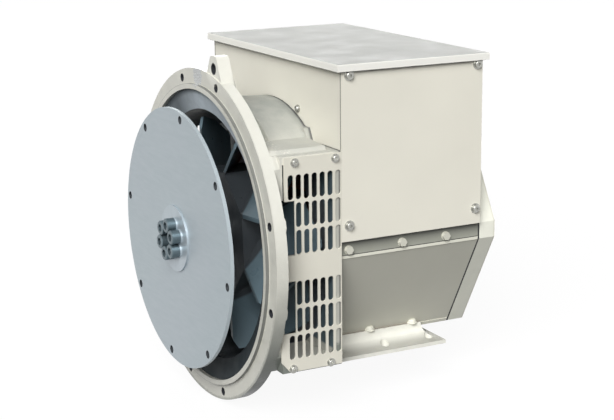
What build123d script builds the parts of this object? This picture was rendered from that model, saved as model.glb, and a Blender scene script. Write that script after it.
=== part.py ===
"""Single-bearing generator alternator head with an engine-housing adaptor and a flexible coupling disc.

All sizes are in millimetres. The origin is the centre of the adaptor flange's mating face, on the shaft
axis. +X runs from the drive end to the non-drive end and +Z is up. Seen from the drive end the right-hand
side is -Y; the left-hand side mirrors it.
"""

import os
from math import cos, radians, sin

from build123d import *

# ---------------------------------------------------------------- driving dimensions
# Engine interface: flywheel-housing flange SAE 3 and 11.5 inch coupling disc, SAE J617 and J620
SPIGOT_RADIUS = 409.575 / 2
SPIGOT_HEIGHT = 5.0
FLANGE_RADIUS = 450.85 / 2
FLANGE_THICKNESS = 16.0
FLANGE_PCD = 428.625
FLANGE_HOLE_RADIUS = 5.35
FLANGE_HOLE_OFFSET = 15.0  # degrees either side of each axis
BOSS_RADIUS = 12.0
BOSS_HEIGHT = 7.0
DISC_RADIUS = 352.425 / 2
DISC_PCD = 333.375
DISC_HOLE_RADIUS = 5.35
DISC_HOLES = 8
DISC_PHASE = 80.8  # degrees, first hole from the right-hand side
DISC_SETTING = 39.6  # coupling face in front of the flange face
LAMINATION = 1.2
LAMINATIONS = 4

# Drive-end bracket casting
SPIGOT_WALL = 6.7875
BORE_RADIUS = SPIGOT_RADIUS - SPIGOT_WALL
FLANGE_LEDGE = 19.4  # how far the flange stands proud of the drum behind it
DRUM_NOSE_RADIUS = FLANGE_RADIUS - FLANGE_LEDGE
DRUM_STEP = 18.0  # the drum is this much smaller than the bore
DRUM_RADIUS = BORE_RADIUS - DRUM_STEP
DRUM_TAPER_X = 46.0
DRUM_WALL = 8.0
DRUM_END_X = 118.0
END_WALL = 8.0
PASSAGE = 2.0  # the air passage is this much larger than the stator core
SIDE_STEP = 9.5
SIDE_Y = DRUM_RADIUS + SIDE_STEP
SIDE_TOP_Z = 137.0
SIDE_BOTTOM_Z = -145.0
SIDE_END_X = 109.4
SIDE_WALL = 10.0
FRONT_POST_X = 27.0
WINDOW_FRONT_X = 18.0  # the window reaches the flange at mid height
WINDOW_STEP_Z = 82.0
WINDOW_LAP = 4.0
BRIDGE_TOP_Z = 6.0
BRIDGE_BOTTOM_Z = -19.0
SHOULDER_HEIGHT = 5.0
SHOULDER_END_X = 96.0
SHOULDER_START_IN = 6.0
SHOULDER_BEND_IN = 18.0
SHOULDER_DEPTH = 0.95
SHOULDER_ROOT = 0.75
SHOULDER_TOP_ANGLE = 40.0  # degrees from the crown
LUG_Y = -46.0
LUG_RISE = 22.0
LUG_TOP_Z = FLANGE_RADIUS + LUG_RISE
LUG_TOP_WIDTH = 18.0
LUG_TOP_ROUND = 7.0
LUG_BASE_WIDTH = 62.0
LUG_ROOT = 8.0
LUG_THICKNESS = 18.0
LUG_FRONT_X = 1.5
LUG_HOLE_RADIUS = 7.0
LUG_HOLE_Z = LUG_TOP_Z - 16.5

# Air baffle
BAFFLE_FRONT_X = 0.0
BAFFLE_REAR_X = 9.0
BAFFLE_WIDTH = 28.0
BAFFLE_INNER_RADIUS = BORE_RADIUS - BAFFLE_WIDTH
BAFFLE_SHEET = 2.0

# Air-outlet grilles
GRILLE_SHEET = 2.0
GRILLE_FRONT_X = 28.5
GRILLE_LOWER_FRONT_X = 22.0
GRILLE_TONGUE_X = 17.5
GRILLE_TONGUE_TOP_Z = 10.0
GRILLE_TONGUE_BOTTOM_Z = -23.5
GRILLE_NOTCH_X = 43.0  # cut back for the flange bolts
GRILLE_NOTCH_TOP_Z = 80.5
GRILLE_NOTCH_BOTTOM_Z = -92.0
GRILLE_TOP_Z = 135.5
GRILLE_BOTTOM_Z = -143.5
GRILLE_CORNER_RISE = 14.0
GRILLE_CORNER_RUN = 12.0
SLOT_WIDTH = 8.0
SLOT_LENGTH = 32.0
SLOT_PITCH_X = 11.2
SLOT_PITCH_Z = 35.6
SLOT_COLUMNS = 7
SLOT_ROWS = 3
SLOT_CENTRE_X = 71.0
UPPER_SLOTS_Z = 62.0
LOWER_SLOTS_Z = -75.5

# Stator
FRAME_END_X = 322.0
FRAME_STEP = 5.5
FRAME_HALF_WIDTH = SIDE_Y - FRAME_STEP
FRAME_STRIP_TOP_Z = 16.0
FRAME_STRIP_BOTTOM_Z = -6.0
FRAME_FLAT_HALF = 108.0
FRAME_TOP_Z = 156.0
FRAME_BOTTOM_Z = -142.0
RING_PLATE = 10.0
STRIP_THICKNESS = 10.0
STRIP_BOLT = 6.0
STRIP_BOLTS_X = (123.0, 203.0, 270.0)
CORE_RADIUS = 126.0
CORE_BORE = 92.0
CORE_START_X = 148.0
CORE_LENGTH = 104.0
STATOR_SLOTS = 36
STATOR_SLOT_DEPTH = 22.0
STATOR_SLOT_WIDTH = 8.0
CORE_BAR_WIDTH = 24.0
CORE_BAR_HEIGHT = 9.0
CORE_BARS = 8
END_TURN_LENGTH = 28.0
END_TURN_GAP = 6.0
END_TURN_RISE = 8.0
WEDGE = 4.0  # the winding stands this far back from the bore
COVER_SHEET = 2.5
COVER_FOLD_Y = 80.0

# Feet: 160 mm shaft height, holes at 254 x 140 centres
SHAFT_HEIGHT = 160.0
FOOT_HOLE_Y = 127.0
FOOT_HOLE_PITCH = 70.0
FOOT_HOLES = 3
FOOT_HOLE_CENTRE_X = 211.0
FOOT_HOLE_RADIUS = 6.0
FOOT_LENGTH = 172.0
FOOT_PLATE = 5.0
FOOT_EDGE_Y = 147.0
FOOT_BEND = 19.0
FOOT_WEB_Y = 117.0
FOOT_WEB_LENGTH = 128.0
FOOT_TOP_Z = -134.0
FOOT_INNER_Y = 84.0

# Non-drive end
NDE_BRACKET_END_X = 347.0
NDE_GASKET = 2.5
NDE_WALL = 8.0
NDE_WEB = 8.0
NDE_ARMS = 4
NDE_ARM_WIDTH = 22.0
NDE_LIP = 4.0
NDE_SEAT = 5.0
END_COVER_SHEET = 2.0
COVER_SCREW_Y = 94.0
LOUVRES = 7
LOUVRE_PITCH = 24.0
LOUVRE_LENGTH = 70.0
LOUVRE_WIDTH = 8.0
LOUVRE_CENTRE_Y = 62.0
BEARING_BORE = 22.5
BEARING_OUTER = 50.0
BEARING_WIDTH = 25.0
BEARING_X = 318.0
BALL_RADIUS = 8.7
BALL_PITCH_RADIUS = 36.25
BALLS = 8
BALL_CLEARANCE = 0.05
HUB_RADIUS = 62.0
LAND = 5.2  # the ring shoulders stand this far from the ball circle
CAGE_HALF = 3.0
CAGE_SIDE = 2.5
CIRCLIP = 1.75
CIRCLIP_RISE = 4.0
CIRCLIP_GROOVE = 1.5
CIRCLIP_MOUTH = 8.0
SHAFT_CHAMFER = 1.5

# Rotor
CLAMP_PLATE_RADIUS = 45.0
CLAMP_PLATE = 2.5
WASHER = 1.6
COUPLING_WASHER_RADIUS = 9.84
SPACER_LENGTH = 15.0
SHAFT_END_RADIUS = 33.0
SHAFT_RADIUS = 35.0
SHAFT_END_X = 345.5
EXCITER_SHOULDER = 6.0
EXCITER_SEAT_RADIUS = 30.0
COUPLING_SCREW_PCD = 40.0
COUPLING_SCREWS = 6
COUPLING_SCREW_PHASE = 20.0
COUPLING_SCREW_LENGTH = 45.0
M12 = 12.0
GRILLE_SCREW = 5.0
GRILLE_SCREW_PLACES = ((43.0, 129.0), (100.4, 129.0), (38.2, -139.5), (92.8, -139.5))
GRILLE_SCREW_DEPTH = 8.0
PANEL_SCREW = 6.0
AIR_GAP = 1.5
POLE_ARC_WIDTH = 96.0
POLE_NECK_WIDTH = 56.0
ROTOR_YOKE_RADIUS = 52.0
POLE_SHOE = 13.0
POLES = 4
COIL_SIDE = 15.0
FAN_CLEARANCE = 12.0
FAN_RADIUS = DRUM_RADIUS - DRUM_WALL - FAN_CLEARANCE
FAN_FRONT_X = 20.0
FAN_BACK_X = 98.0
FAN_BLADES = 8
FAN_PHASE = 19.0  # degrees, a corner of the hub, seen from the non-drive end
FAN_HUB_RADIUS = 93.0  # to the corners of the eight-sided hub
FAN_HUB_WALL = 4.0
FAN_BOSS_RADIUS = 50.0
FAN_BLADE_THICKNESS = 4.0
FAN_BLADE_SWEEP = 21.7  # degrees, the front edge leans this much off a radius
FAN_BLADE_PITCH = 45.0  # degrees, the blade runs back at this slope
FAN_FRONT_EDGE = 53.4
FAN_CORNER_LENGTH = 12.9
FAN_CORNER_DEPTH = 8.7
FAN_BLADE_REACH = 110.0
FAN_BLADE_HEEL = 50.0
EXTRA = 4.0  # blanks are drawn this much too long and trimmed
EXCITER_X = 286.0
EXCITER_LENGTH = 18.0
EXCITER_BORE = 58.0
EXCITER_RADIUS = 88.0
EXCITER_GAP = 1.0
EXCITER_TEETH = 12
EXCITER_SLOT_DEPTH = 14.0
EXCITER_SLOT_WIDTH = 9.0
EXCITER_FOOT_RADIUS = 7.0
EXCITER_FOOT_PITCH_RADIUS = 80.0
RECTIFIER_X = 308.0
RECTIFIER_PLATE = 3.0
RECTIFIER_RADIUS = 42.0
DIODES = 6
DIODE_RADIUS = 5.0
DIODE_LENGTH = 4.0

# Terminal box
BOX_FRONT_X = 109.6
BOX_REAR_X = 320.3
BOX_SHEET = 2.0
BOX_HALF_WIDTH = SIDE_Y + BOX_SHEET
PANEL_BOTTOM_Z = 18.0
PANEL_TOP_Z = 243.0
LID_TOP_Z = 246.8
LID_LIP = 9.3
LID_ROUND = 1.5
LID_FRONT_X = 101.6
LID_REAR_X = 327.0
LID_OVERHANG = 6.0
LID_HALF_WIDTH = BOX_HALF_WIDTH + LID_OVERHANG
TRAY_SHEET = 3.0
LEAD_HOLE = (90.0, 60.0)
POST_X = 20.0
POST_Y = 12.0
POST_BOTTOM_Z = 32.0
PANEL_SCREW_X = (120.5, 312.0)
PANEL_SCREW_Z = (39.0, 232.0)
TERMINAL_BOARD_X = 190.0
TERMINAL_BOARD_SIZE = (70.0, 190.0, 18.0)
TERMINAL_STUDS = 6
STUD_PITCH = 28.0
STUD_SIZE = 8.0
STUD_LENGTH = 20.0
STUD_NUT = 7.0
MOULDING_ROUND = 4.0
REGULATOR_SIZE = (30.0, 120.0, 55.0)
REGULATOR_X = 285.0

FIT = 0.3  # gap left round pieces that slide past or drop over each other
SHANK_GAP = 0.1  # radial gap round a screw shank


# ---------------------------------------------------------------- helpers
def square_to_shaft(x):
    """The plane at x that faces the non-drive end: local x is +Y and local y is +Z."""
    return Plane.YZ.offset(x)


def drive_face(x):
    """The plane at x that faces the drive end: local x is -Y and local y is +Z."""
    return Plane(origin=(x, 0, 0), x_dir=(0, -1, 0), z_dir=(-1, 0, 0))


def right_face(y):
    """The plane at -y that faces the right-hand side: local x is +X and local y is +Z."""
    return Plane.XZ.offset(y)


def on_circle(radius, count, phase):
    """Evenly spaced points on a circle, the first at phase degrees."""
    angles = [radians(phase + i * 360 / count) for i in range(count)]
    return [(radius * cos(angle), radius * sin(angle)) for angle in angles]


def save(piece, name):
    piece.label = name
    export_step(piece, f"parts/{name}.step")


def turned(*points):
    """A solid turned about the shaft from (x, radius) points."""
    with BuildPart() as part:
        with BuildSketch(Plane.XZ):
            with BuildLine():
                Polyline(*points, close=True)
            make_face()
        revolve(axis=Axis.X)
    return part.part


def socket_screw(size, length):
    """A socket-head cap screw: its head stands on +Z and its shank runs down from the origin."""
    with BuildPart() as screw:
        Cylinder(size * 0.8, size, align=(Align.CENTER, Align.CENTER, Align.MIN))
        chamfer(screw.edges().group_by(Axis.Z)[-1], size * 0.08)
        with BuildSketch(Plane.XY.offset(size)):
            RegularPolygon(size * 0.46, 6)
        extrude(amount=-size * 0.5, mode=Mode.SUBTRACT)
        Cylinder(size / 2, length, align=(Align.CENTER, Align.CENTER, Align.MAX))
    return screw.part


def hex_bolt(size, length):
    """A hexagon-head bolt with a flat washer: the washer seats at the origin and the shank runs down."""
    washer = size * 0.2
    with BuildPart() as bolt:
        Cylinder(size, washer, align=(Align.CENTER, Align.CENTER, Align.MIN))
        with BuildSketch(Plane.XY.offset(washer)):
            RegularPolygon(size * 0.95, 6)
        extrude(amount=size * 0.65)
        Cylinder(size / 2, length, align=(Align.CENTER, Align.CENTER, Align.MAX))
    return bolt.part


def pan_screw(size, length):
    """A pan-head screw with a washer and a cross-free socket, for sheet panels."""
    washer = size * 0.2
    with BuildPart() as screw:
        Cylinder(size * 1.15, washer, align=(Align.CENTER, Align.CENTER, Align.MIN))
        with BuildSketch(Plane.XY.offset(washer)):
            Circle(size * 0.85)
        extrude(amount=size * 0.65)
        fillet(screw.edges().group_by(Axis.Z)[-1], size * 0.25)
        with BuildSketch(Plane.XY.offset(washer + size * 0.65)):
            RegularPolygon(size * 0.35, 6)
        extrude(amount=-size * 0.35, mode=Mode.SUBTRACT)
        Cylinder(size / 2, length, align=(Align.CENTER, Align.CENTER, Align.MAX))
    return screw.part


def cone_x(radius, lift=0.0):
    """Where the cone behind the air baffle stands at a radius; lift moves it toward the drive end."""
    slope = (BAFFLE_REAR_X - BAFFLE_FRONT_X) / (BORE_RADIUS - FIT - BAFFLE_INNER_RADIUS)
    return BAFFLE_REAR_X + BAFFLE_SHEET - (radius - BAFFLE_INNER_RADIUS) * slope - lift


def frame_outline(inset=0.0):
    """The eight corners of the stator frame's section, as (y, z), pulled in square by inset."""
    half, flat = FRAME_HALF_WIDTH - inset, FRAME_FLAT_HALF - inset * 0.55
    top, bottom = FRAME_TOP_Z - inset, FRAME_BOTTOM_Z + inset
    return [
        (-half, FRAME_STRIP_BOTTOM_Z),
        (-half, FRAME_STRIP_TOP_Z),
        (-flat, top),
        (flat, top),
        (half, FRAME_STRIP_TOP_Z),
        (half, FRAME_STRIP_BOTTOM_Z),
        (flat, bottom),
        (-flat, bottom),
    ]


os.makedirs("parts", exist_ok=True)

# ---------------------------------------------------------------- drive-end bracket
flange_angles = [
    quarter + offset for quarter in (0, 90, 180, 270) for offset in (-FLANGE_HOLE_OFFSET, FLANGE_HOLE_OFFSET)
]
flange_holes = [
    (FLANGE_PCD / 2 * cos(radians(angle)), FLANGE_PCD / 2 * sin(radians(angle))) for angle in flange_angles
]
cavity_radius = DRUM_RADIUS - DRUM_WALL
side_centre_z = (SIDE_TOP_Z + SIDE_BOTTOM_Z) / 2
side_height = SIDE_TOP_Z - SIDE_BOTTOM_Z

window_heights = (
    (BRIDGE_TOP_Z, SIDE_TOP_Z - SIDE_WALL),
    (SIDE_BOTTOM_Z + SIDE_WALL, BRIDGE_BOTTOM_Z),
)
with BuildPart() as drive_end_bracket:
    with BuildSketch(Plane.XZ):
        with BuildLine():
            Polyline(
                (-SPIGOT_HEIGHT, BORE_RADIUS),
                (-SPIGOT_HEIGHT, SPIGOT_RADIUS),
                (0, SPIGOT_RADIUS),
                (0, FLANGE_RADIUS),
                (FLANGE_THICKNESS, FLANGE_RADIUS),
                (FLANGE_THICKNESS, DRUM_NOSE_RADIUS),
                (DRUM_TAPER_X, DRUM_RADIUS + DRUM_WALL / 2),
                (SIDE_END_X, DRUM_RADIUS),
                (SIDE_END_X, cavity_radius),
                (cone_x(cavity_radius), cavity_radius),
                (cone_x(BORE_RADIUS), BORE_RADIUS),
                close=True,
            )
        make_face()
    revolve(axis=Axis.X)
    # the two side boxes that carry the grilles
    with BuildSketch(square_to_shaft(FLANGE_THICKNESS / 2)):
        with Locations((0, side_centre_z)):
            Rectangle(2 * SIDE_Y, side_height)
        Circle(cavity_radius, mode=Mode.SUBTRACT)
    extrude(amount=SIDE_END_X - FLANGE_THICKNESS / 2)
    # raised shoulders from the side boxes up the drum
    with BuildSketch(square_to_shaft(FLANGE_THICKNESS / 2)):
        with BuildLine():
            shoulder_radius = DRUM_RADIUS + DRUM_WALL / 2 + SHOULDER_HEIGHT
            crown = (
                -shoulder_radius * sin(radians(SHOULDER_TOP_ANGLE)),
                shoulder_radius * cos(radians(SHOULDER_TOP_ANGLE)),
            )
            Polyline(
                (-SIDE_Y + SHOULDER_START_IN, SIDE_TOP_Z - SIDE_WALL),
                (-SIDE_Y + SHOULDER_BEND_IN, SIDE_TOP_Z + SHOULDER_HEIGHT),
                crown,
                (crown[0] * SHOULDER_DEPTH, crown[1] * SHOULDER_DEPTH),
                (-cavity_radius * SHOULDER_ROOT, SIDE_TOP_Z - SIDE_WALL),
                close=True,
            )
        make_face()
        mirror(about=Plane.YZ)
    extrude(amount=SHOULDER_END_X - FLANGE_THICKNESS / 2)
    # lifting lug beside the crown of the flange
    with BuildSketch(square_to_shaft(LUG_FRONT_X)) as lug:
        with BuildLine():
            Polyline(
                (LUG_Y + LUG_BASE_WIDTH / 2, DRUM_NOSE_RADIUS),
                (LUG_Y + LUG_TOP_WIDTH / 2, LUG_TOP_Z),
                (LUG_Y - LUG_TOP_WIDTH / 2, LUG_TOP_Z),
                (LUG_Y - LUG_BASE_WIDTH / 2, DRUM_NOSE_RADIUS - LUG_ROOT),
                close=True,
            )
        make_face()
        fillet(lug.vertices().group_by(Axis.Z)[-1], LUG_TOP_ROUND)
    extrude(amount=LUG_THICKNESS)
    # bosses behind the flange bolt holes
    with BuildSketch(square_to_shaft(FLANGE_THICKNESS / 2)):
        with Locations(*[(-u, v) for u, v in flange_holes]):
            Circle(BOSS_RADIUS)
    extrude(amount=FLANGE_THICKNESS / 2 + BOSS_HEIGHT)
    with BuildSketch(square_to_shaft(-1)):
        Circle(2 * FLANGE_RADIUS)
        Circle(FLANGE_RADIUS, mode=Mode.SUBTRACT)
        with Locations((LUG_Y, LUG_TOP_Z)):
            Rectangle(LUG_BASE_WIDTH * 1.2, 2 * (LUG_TOP_Z - DRUM_NOSE_RADIUS), mode=Mode.SUBTRACT)
    extrude(amount=FLANGE_THICKNESS + BOSS_HEIGHT + 2, mode=Mode.SUBTRACT)
    # the cavity round the fan
    with BuildSketch(square_to_shaft(FLANGE_THICKNESS)):
        Circle(cavity_radius)
    extrude(amount=SIDE_END_X - END_WALL - FLANGE_THICKNESS, mode=Mode.SUBTRACT)
    mouth = turned(
        (-SPIGOT_HEIGHT, 0),
        (-SPIGOT_HEIGHT, BORE_RADIUS),
        (cone_x(BORE_RADIUS), BORE_RADIUS),
        (cone_x(cavity_radius), cavity_radius),
        (cone_x(cavity_radius), 0),
    )
    add(mouth, mode=Mode.SUBTRACT)
    # end wall with the air passage from the stator
    with BuildSketch(square_to_shaft(SIDE_END_X - END_WALL)):
        Circle(DRUM_RADIUS)
        Circle(CORE_RADIUS + PASSAGE, mode=Mode.SUBTRACT)
    extrude(amount=END_WALL)
    with BuildSketch(square_to_shaft(SIDE_END_X - END_WALL)):
        Polygon(*frame_outline(COVER_SHEET), align=None)
        Circle(CORE_RADIUS + PASSAGE, mode=Mode.SUBTRACT)
    extrude(amount=DRUM_END_X - SIDE_END_X + END_WALL)
    # windows behind the grilles
    for side in (-1, 1):
        for low, high in window_heights:
            with BuildSketch(Plane.XZ):
                with Locations(((FRONT_POST_X + SIDE_END_X - SIDE_WALL) / 2, (low + high) / 2)):
                    Rectangle(SIDE_END_X - SIDE_WALL - FRONT_POST_X, high - low)
                reach = min(high, WINDOW_STEP_Z)
                base = max(low, -WINDOW_STEP_Z)
                with Locations(((WINDOW_FRONT_X + FRONT_POST_X + WINDOW_LAP) / 2, (reach + base) / 2)):
                    Rectangle(FRONT_POST_X + WINDOW_LAP - WINDOW_FRONT_X, reach - base)
            extrude(amount=-side * FLANGE_RADIUS, mode=Mode.SUBTRACT)
    # flat sides that the grilles lie on
    for side in (-1, 1):
        with BuildSketch(Plane.XZ.offset(side * SIDE_Y)):
            with Locations((GRILLE_TONGUE_X + DRUM_END_X / 2, 0)):
                Rectangle(DRUM_END_X, 2 * FLANGE_RADIUS)
        extrude(amount=side * FLANGE_RADIUS, mode=Mode.SUBTRACT)
        with Locations(Plane(origin=(0, side * SIDE_Y, 0), x_dir=(1, 0, 0), z_dir=(0, side, 0))):
            with Locations(*[(x, -side * z) for x, z in GRILLE_SCREW_PLACES]):
                Hole(GRILLE_SCREW / 2 + SHANK_GAP, GRILLE_SCREW_DEPTH)
    # holes
    with Locations(drive_face(0)):
        with Locations(*flange_holes):
            Hole(FLANGE_HOLE_RADIUS, FLANGE_THICKNESS + BOSS_HEIGHT + 1)
    with Locations(drive_face(LUG_FRONT_X)):
        with Locations((-LUG_Y, LUG_HOLE_Z)):
            Hole(LUG_HOLE_RADIUS, LUG_THICKNESS + 1)
save(drive_end_bracket.part, "drive_end_bracket")

# ---------------------------------------------------------------- air baffle
baffle = turned(
    (cone_x(BORE_RADIUS - FIT, BAFFLE_SHEET), BORE_RADIUS - FIT),
    (cone_x(BORE_RADIUS - FIT), BORE_RADIUS - FIT),
    (cone_x(BAFFLE_INNER_RADIUS), BAFFLE_INNER_RADIUS),
    (cone_x(BAFFLE_INNER_RADIUS, BAFFLE_SHEET), BAFFLE_INNER_RADIUS),
)
save(baffle, "air_baffle")

# ---------------------------------------------------------------- grilles and their screws
slot_places = [
    (SLOT_CENTRE_X + (column - (SLOT_COLUMNS - 1) / 2) * SLOT_PITCH_X, bank + (row - 1) * SLOT_PITCH_Z)
    for bank in (UPPER_SLOTS_Z, LOWER_SLOTS_Z)
    for row in range(SLOT_ROWS)
    for column in range(SLOT_COLUMNS)
]
slot_places = [
    (x, z)
    for x, z in slot_places
    if x - SLOT_WIDTH / 2 > GRILLE_NOTCH_X or z > GRILLE_NOTCH_TOP_Z or z < GRILLE_NOTCH_BOTTOM_Z
]
with BuildPart() as grille_right:
    with BuildSketch(right_face(SIDE_Y)) as grille_sketch:
        with BuildLine():
            Polyline(
                (GRILLE_FRONT_X, GRILLE_TOP_Z),
                (GRILLE_FRONT_X, GRILLE_NOTCH_TOP_Z),
                (GRILLE_NOTCH_X, GRILLE_NOTCH_TOP_Z),
                (GRILLE_NOTCH_X, GRILLE_TONGUE_TOP_Z),
                (GRILLE_TONGUE_X, GRILLE_TONGUE_TOP_Z),
                (GRILLE_TONGUE_X, GRILLE_TONGUE_BOTTOM_Z),
                (GRILLE_NOTCH_X, GRILLE_TONGUE_BOTTOM_Z),
                (GRILLE_NOTCH_X, GRILLE_NOTCH_BOTTOM_Z),
                (GRILLE_LOWER_FRONT_X, GRILLE_NOTCH_BOTTOM_Z),
                (GRILLE_LOWER_FRONT_X, GRILLE_BOTTOM_Z + GRILLE_CORNER_RISE),
                (GRILLE_LOWER_FRONT_X + GRILLE_CORNER_RUN, GRILLE_BOTTOM_Z),
                (SIDE_END_X, GRILLE_BOTTOM_Z),
                (SIDE_END_X, GRILLE_TOP_Z),
                close=True,
            )
        make_face()
        with Locations(*slot_places):
            SlotOverall(SLOT_LENGTH, SLOT_WIDTH, rotation=90, mode=Mode.SUBTRACT)
        with Locations(*GRILLE_SCREW_PLACES):
            Circle(GRILLE_SCREW / 2 + SHANK_GAP, mode=Mode.SUBTRACT)
    extrude(amount=GRILLE_SHEET)
save(grille_right.part, "grille_right")
save(mirror(grille_right.part, about=Plane.XZ), "grille_left")

with BuildPart() as grille_screws:
    for side in (-1, 1):
        outside = Plane(origin=(0, side * (SIDE_Y + GRILLE_SHEET), 0), x_dir=(1, 0, 0), z_dir=(0, side, 0))
        with Locations(outside):
            with Locations(*[(x, -side * z) for x, z in GRILLE_SCREW_PLACES]):
                add(pan_screw(GRILLE_SCREW, GRILLE_SHEET + GRILLE_SCREW_DEPTH - 1))
save(grille_screws.part, "grille_screws")

# ---------------------------------------------------------------- stator frame and its covers
strip_centre = (FRAME_STRIP_TOP_Z + FRAME_STRIP_BOTTOM_Z) / 2
strip_height = FRAME_STRIP_TOP_Z - FRAME_STRIP_BOTTOM_Z
bar_radius = CORE_RADIUS + CORE_BAR_HEIGHT
rail_start_x = DRUM_END_X + RING_PLATE
rail_length = FRAME_END_X - RING_PLATE - rail_start_x


def strip_bolt_faces(side):
    """Where the strip bolts seat on one side of the frame, each plane facing outward."""
    seats = []
    for x in STRIP_BOLTS_X:
        seat = (x, side * FRAME_HALF_WIDTH, strip_centre)
        seats.append(Plane(origin=seat, x_dir=(1, 0, 0), z_dir=(0, side, 0)))
    return seats


with BuildPart() as frame_rings:
    for x in (DRUM_END_X, FRAME_END_X - RING_PLATE):
        with BuildSketch(square_to_shaft(x)):
            Polygon(*frame_outline(COVER_SHEET), align=None)
            Circle(bar_radius, mode=Mode.SUBTRACT)
        extrude(amount=RING_PLATE)
    for side in (-1, 1):
        with Locations(*strip_bolt_faces(side)):
            Hole(STRIP_BOLT / 2 + SHANK_GAP, STRIP_THICKNESS + 1)
save(frame_rings.part, "frame_rings")

with BuildPart() as frame_bars:
    with BuildSketch(square_to_shaft(DRUM_END_X)):
        with PolarLocations(CORE_RADIUS + CORE_BAR_HEIGHT / 2, CORE_BARS, start_angle=180 / CORE_BARS):
            Rectangle(2 * CORE_BAR_HEIGHT, CORE_BAR_WIDTH)
        Circle(bar_radius, mode=Mode.INTERSECT)
        Circle(CORE_RADIUS, mode=Mode.SUBTRACT)
    extrude(amount=FRAME_END_X - DRUM_END_X)
save(frame_bars.part, "frame_bars")

with BuildPart() as frame_rails:
    with BuildSketch(square_to_shaft(rail_start_x)):
        for side in (-1, 1):
            with Locations((side * (FRAME_HALF_WIDTH - STRIP_THICKNESS / 2), strip_centre)):
                Rectangle(STRIP_THICKNESS, strip_height)
        with Locations((0, FRAME_TOP_Z - RING_PLATE / 2 - COVER_SHEET)):
            Rectangle(2 * FRAME_FLAT_HALF - 2 * RING_PLATE, RING_PLATE)
    extrude(amount=rail_length)
    # the outer face of the strips and the floor run on over both rings
    with BuildSketch(square_to_shaft(SIDE_END_X + FIT)):
        for side in (-1, 1):
            with Locations((side * (FRAME_HALF_WIDTH - COVER_SHEET / 2), strip_centre)):
                Rectangle(COVER_SHEET, strip_height)
        with Locations((0, FRAME_BOTTOM_Z + COVER_SHEET / 2)):
            Rectangle(2 * COVER_FOLD_Y, COVER_SHEET)
    extrude(amount=FRAME_END_X - SIDE_END_X - FIT)
    for side in (-1, 1):
        with Locations(*strip_bolt_faces(side)):
            Hole(STRIP_BOLT / 2 + SHANK_GAP, STRIP_THICKNESS + 1)
save(frame_rails.part, "frame_rails")

with BuildPart() as side_bolts:
    for side in (-1, 1):
        with Locations(*strip_bolt_faces(side)):
            add(hex_bolt(STRIP_BOLT, STRIP_THICKNESS))
save(side_bolts.part, "side_bolts")

outer, inner = frame_outline(0), frame_outline(COVER_SHEET)
with BuildPart() as side_cover_right:
    with BuildSketch(square_to_shaft(SIDE_END_X + FIT)):
        Polygon(outer[0], inner[0], inner[7], outer[7], align=None)
        Polygon(
            outer[7],
            inner[7],
            (-COVER_FOLD_Y, FRAME_BOTTOM_Z + COVER_SHEET),
            (-COVER_FOLD_Y, FRAME_BOTTOM_Z),
            align=None,
        )
    extrude(amount=FRAME_END_X - SIDE_END_X - FIT)
save(side_cover_right.part, "side_cover_right")
save(mirror(side_cover_right.part, about=Plane.XZ), "side_cover_left")

# ---------------------------------------------------------------- feet
def slant_y(z):
    """How far out the lower slanted side of the frame stands at a height."""
    rise = (z - FRAME_BOTTOM_Z) / (FRAME_STRIP_BOTTOM_Z - FRAME_BOTTOM_Z)
    return FRAME_FLAT_HALF + rise * (FRAME_HALF_WIDTH - FRAME_FLAT_HALF)


foot_hole_x = [FOOT_HOLE_CENTRE_X + (i - (FOOT_HOLES - 1) / 2) * FOOT_HOLE_PITCH for i in range(FOOT_HOLES)]
plate_top = FOOT_PLATE - SHAFT_HEIGHT
bend_z = plate_top + FOOT_BEND
bend_middle = FOOT_BEND * (1 - cos(radians(45)))
web_half = FOOT_WEB_LENGTH / 2
with BuildPart() as foot_right:
    # the section across the shaft
    with BuildSketch(square_to_shaft(FOOT_HOLE_CENTRE_X - FOOT_LENGTH / 2)):
        with BuildLine():
            Polyline(
                (-FOOT_WEB_Y - FOOT_BEND, plate_top),
                (-FOOT_EDGE_Y, plate_top),
                (-FOOT_EDGE_Y, -SHAFT_HEIGHT),
                (-FOOT_INNER_Y, -SHAFT_HEIGHT),
                (-FOOT_INNER_Y, FRAME_BOTTOM_Z),
                (-FRAME_FLAT_HALF, FRAME_BOTTOM_Z),
                (-slant_y(FOOT_TOP_Z), FOOT_TOP_Z),
                (-FOOT_WEB_Y, FOOT_TOP_Z),
                (-FOOT_WEB_Y, bend_z),
            )
            ThreePointArc(
                (-FOOT_WEB_Y, bend_z),
                (-FOOT_WEB_Y - bend_middle, plate_top + bend_middle),
                (-FOOT_WEB_Y - FOOT_BEND, plate_top),
            )
        make_face()
    extrude(amount=FOOT_LENGTH)
    # crossed with the profile along it
    with BuildSketch(Plane.XZ):
        with BuildLine(Plane(origin=(FOOT_HOLE_CENTRE_X, 0, 0), x_dir=(1, 0, 0), z_dir=(0, -1, 0))):
            Polyline(
                (-web_half - FOOT_BEND, plate_top),
                (-FOOT_LENGTH / 2, plate_top),
                (-FOOT_LENGTH / 2, -SHAFT_HEIGHT),
                (FOOT_LENGTH / 2, -SHAFT_HEIGHT),
                (FOOT_LENGTH / 2, plate_top),
                (web_half + FOOT_BEND, plate_top),
            )
            ThreePointArc(
                (web_half + FOOT_BEND, plate_top),
                (web_half + bend_middle, plate_top + bend_middle),
                (web_half, bend_z),
            )
            Polyline((web_half, bend_z), (web_half, FOOT_TOP_Z), (-web_half, FOOT_TOP_Z), (-web_half, bend_z))
            ThreePointArc(
                (-web_half, bend_z),
                (-web_half - bend_middle, plate_top + bend_middle),
                (-web_half - FOOT_BEND, plate_top),
            )
        make_face()
    extrude(amount=FOOT_EDGE_Y, mode=Mode.INTERSECT)
    with Locations(Plane.XY.offset(FOOT_TOP_Z)):
        with Locations(*[(x, -FOOT_HOLE_Y) for x in foot_hole_x]):
            Hole(FOOT_HOLE_RADIUS, SHAFT_HEIGHT)
save(foot_right.part, "foot_right")
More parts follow.
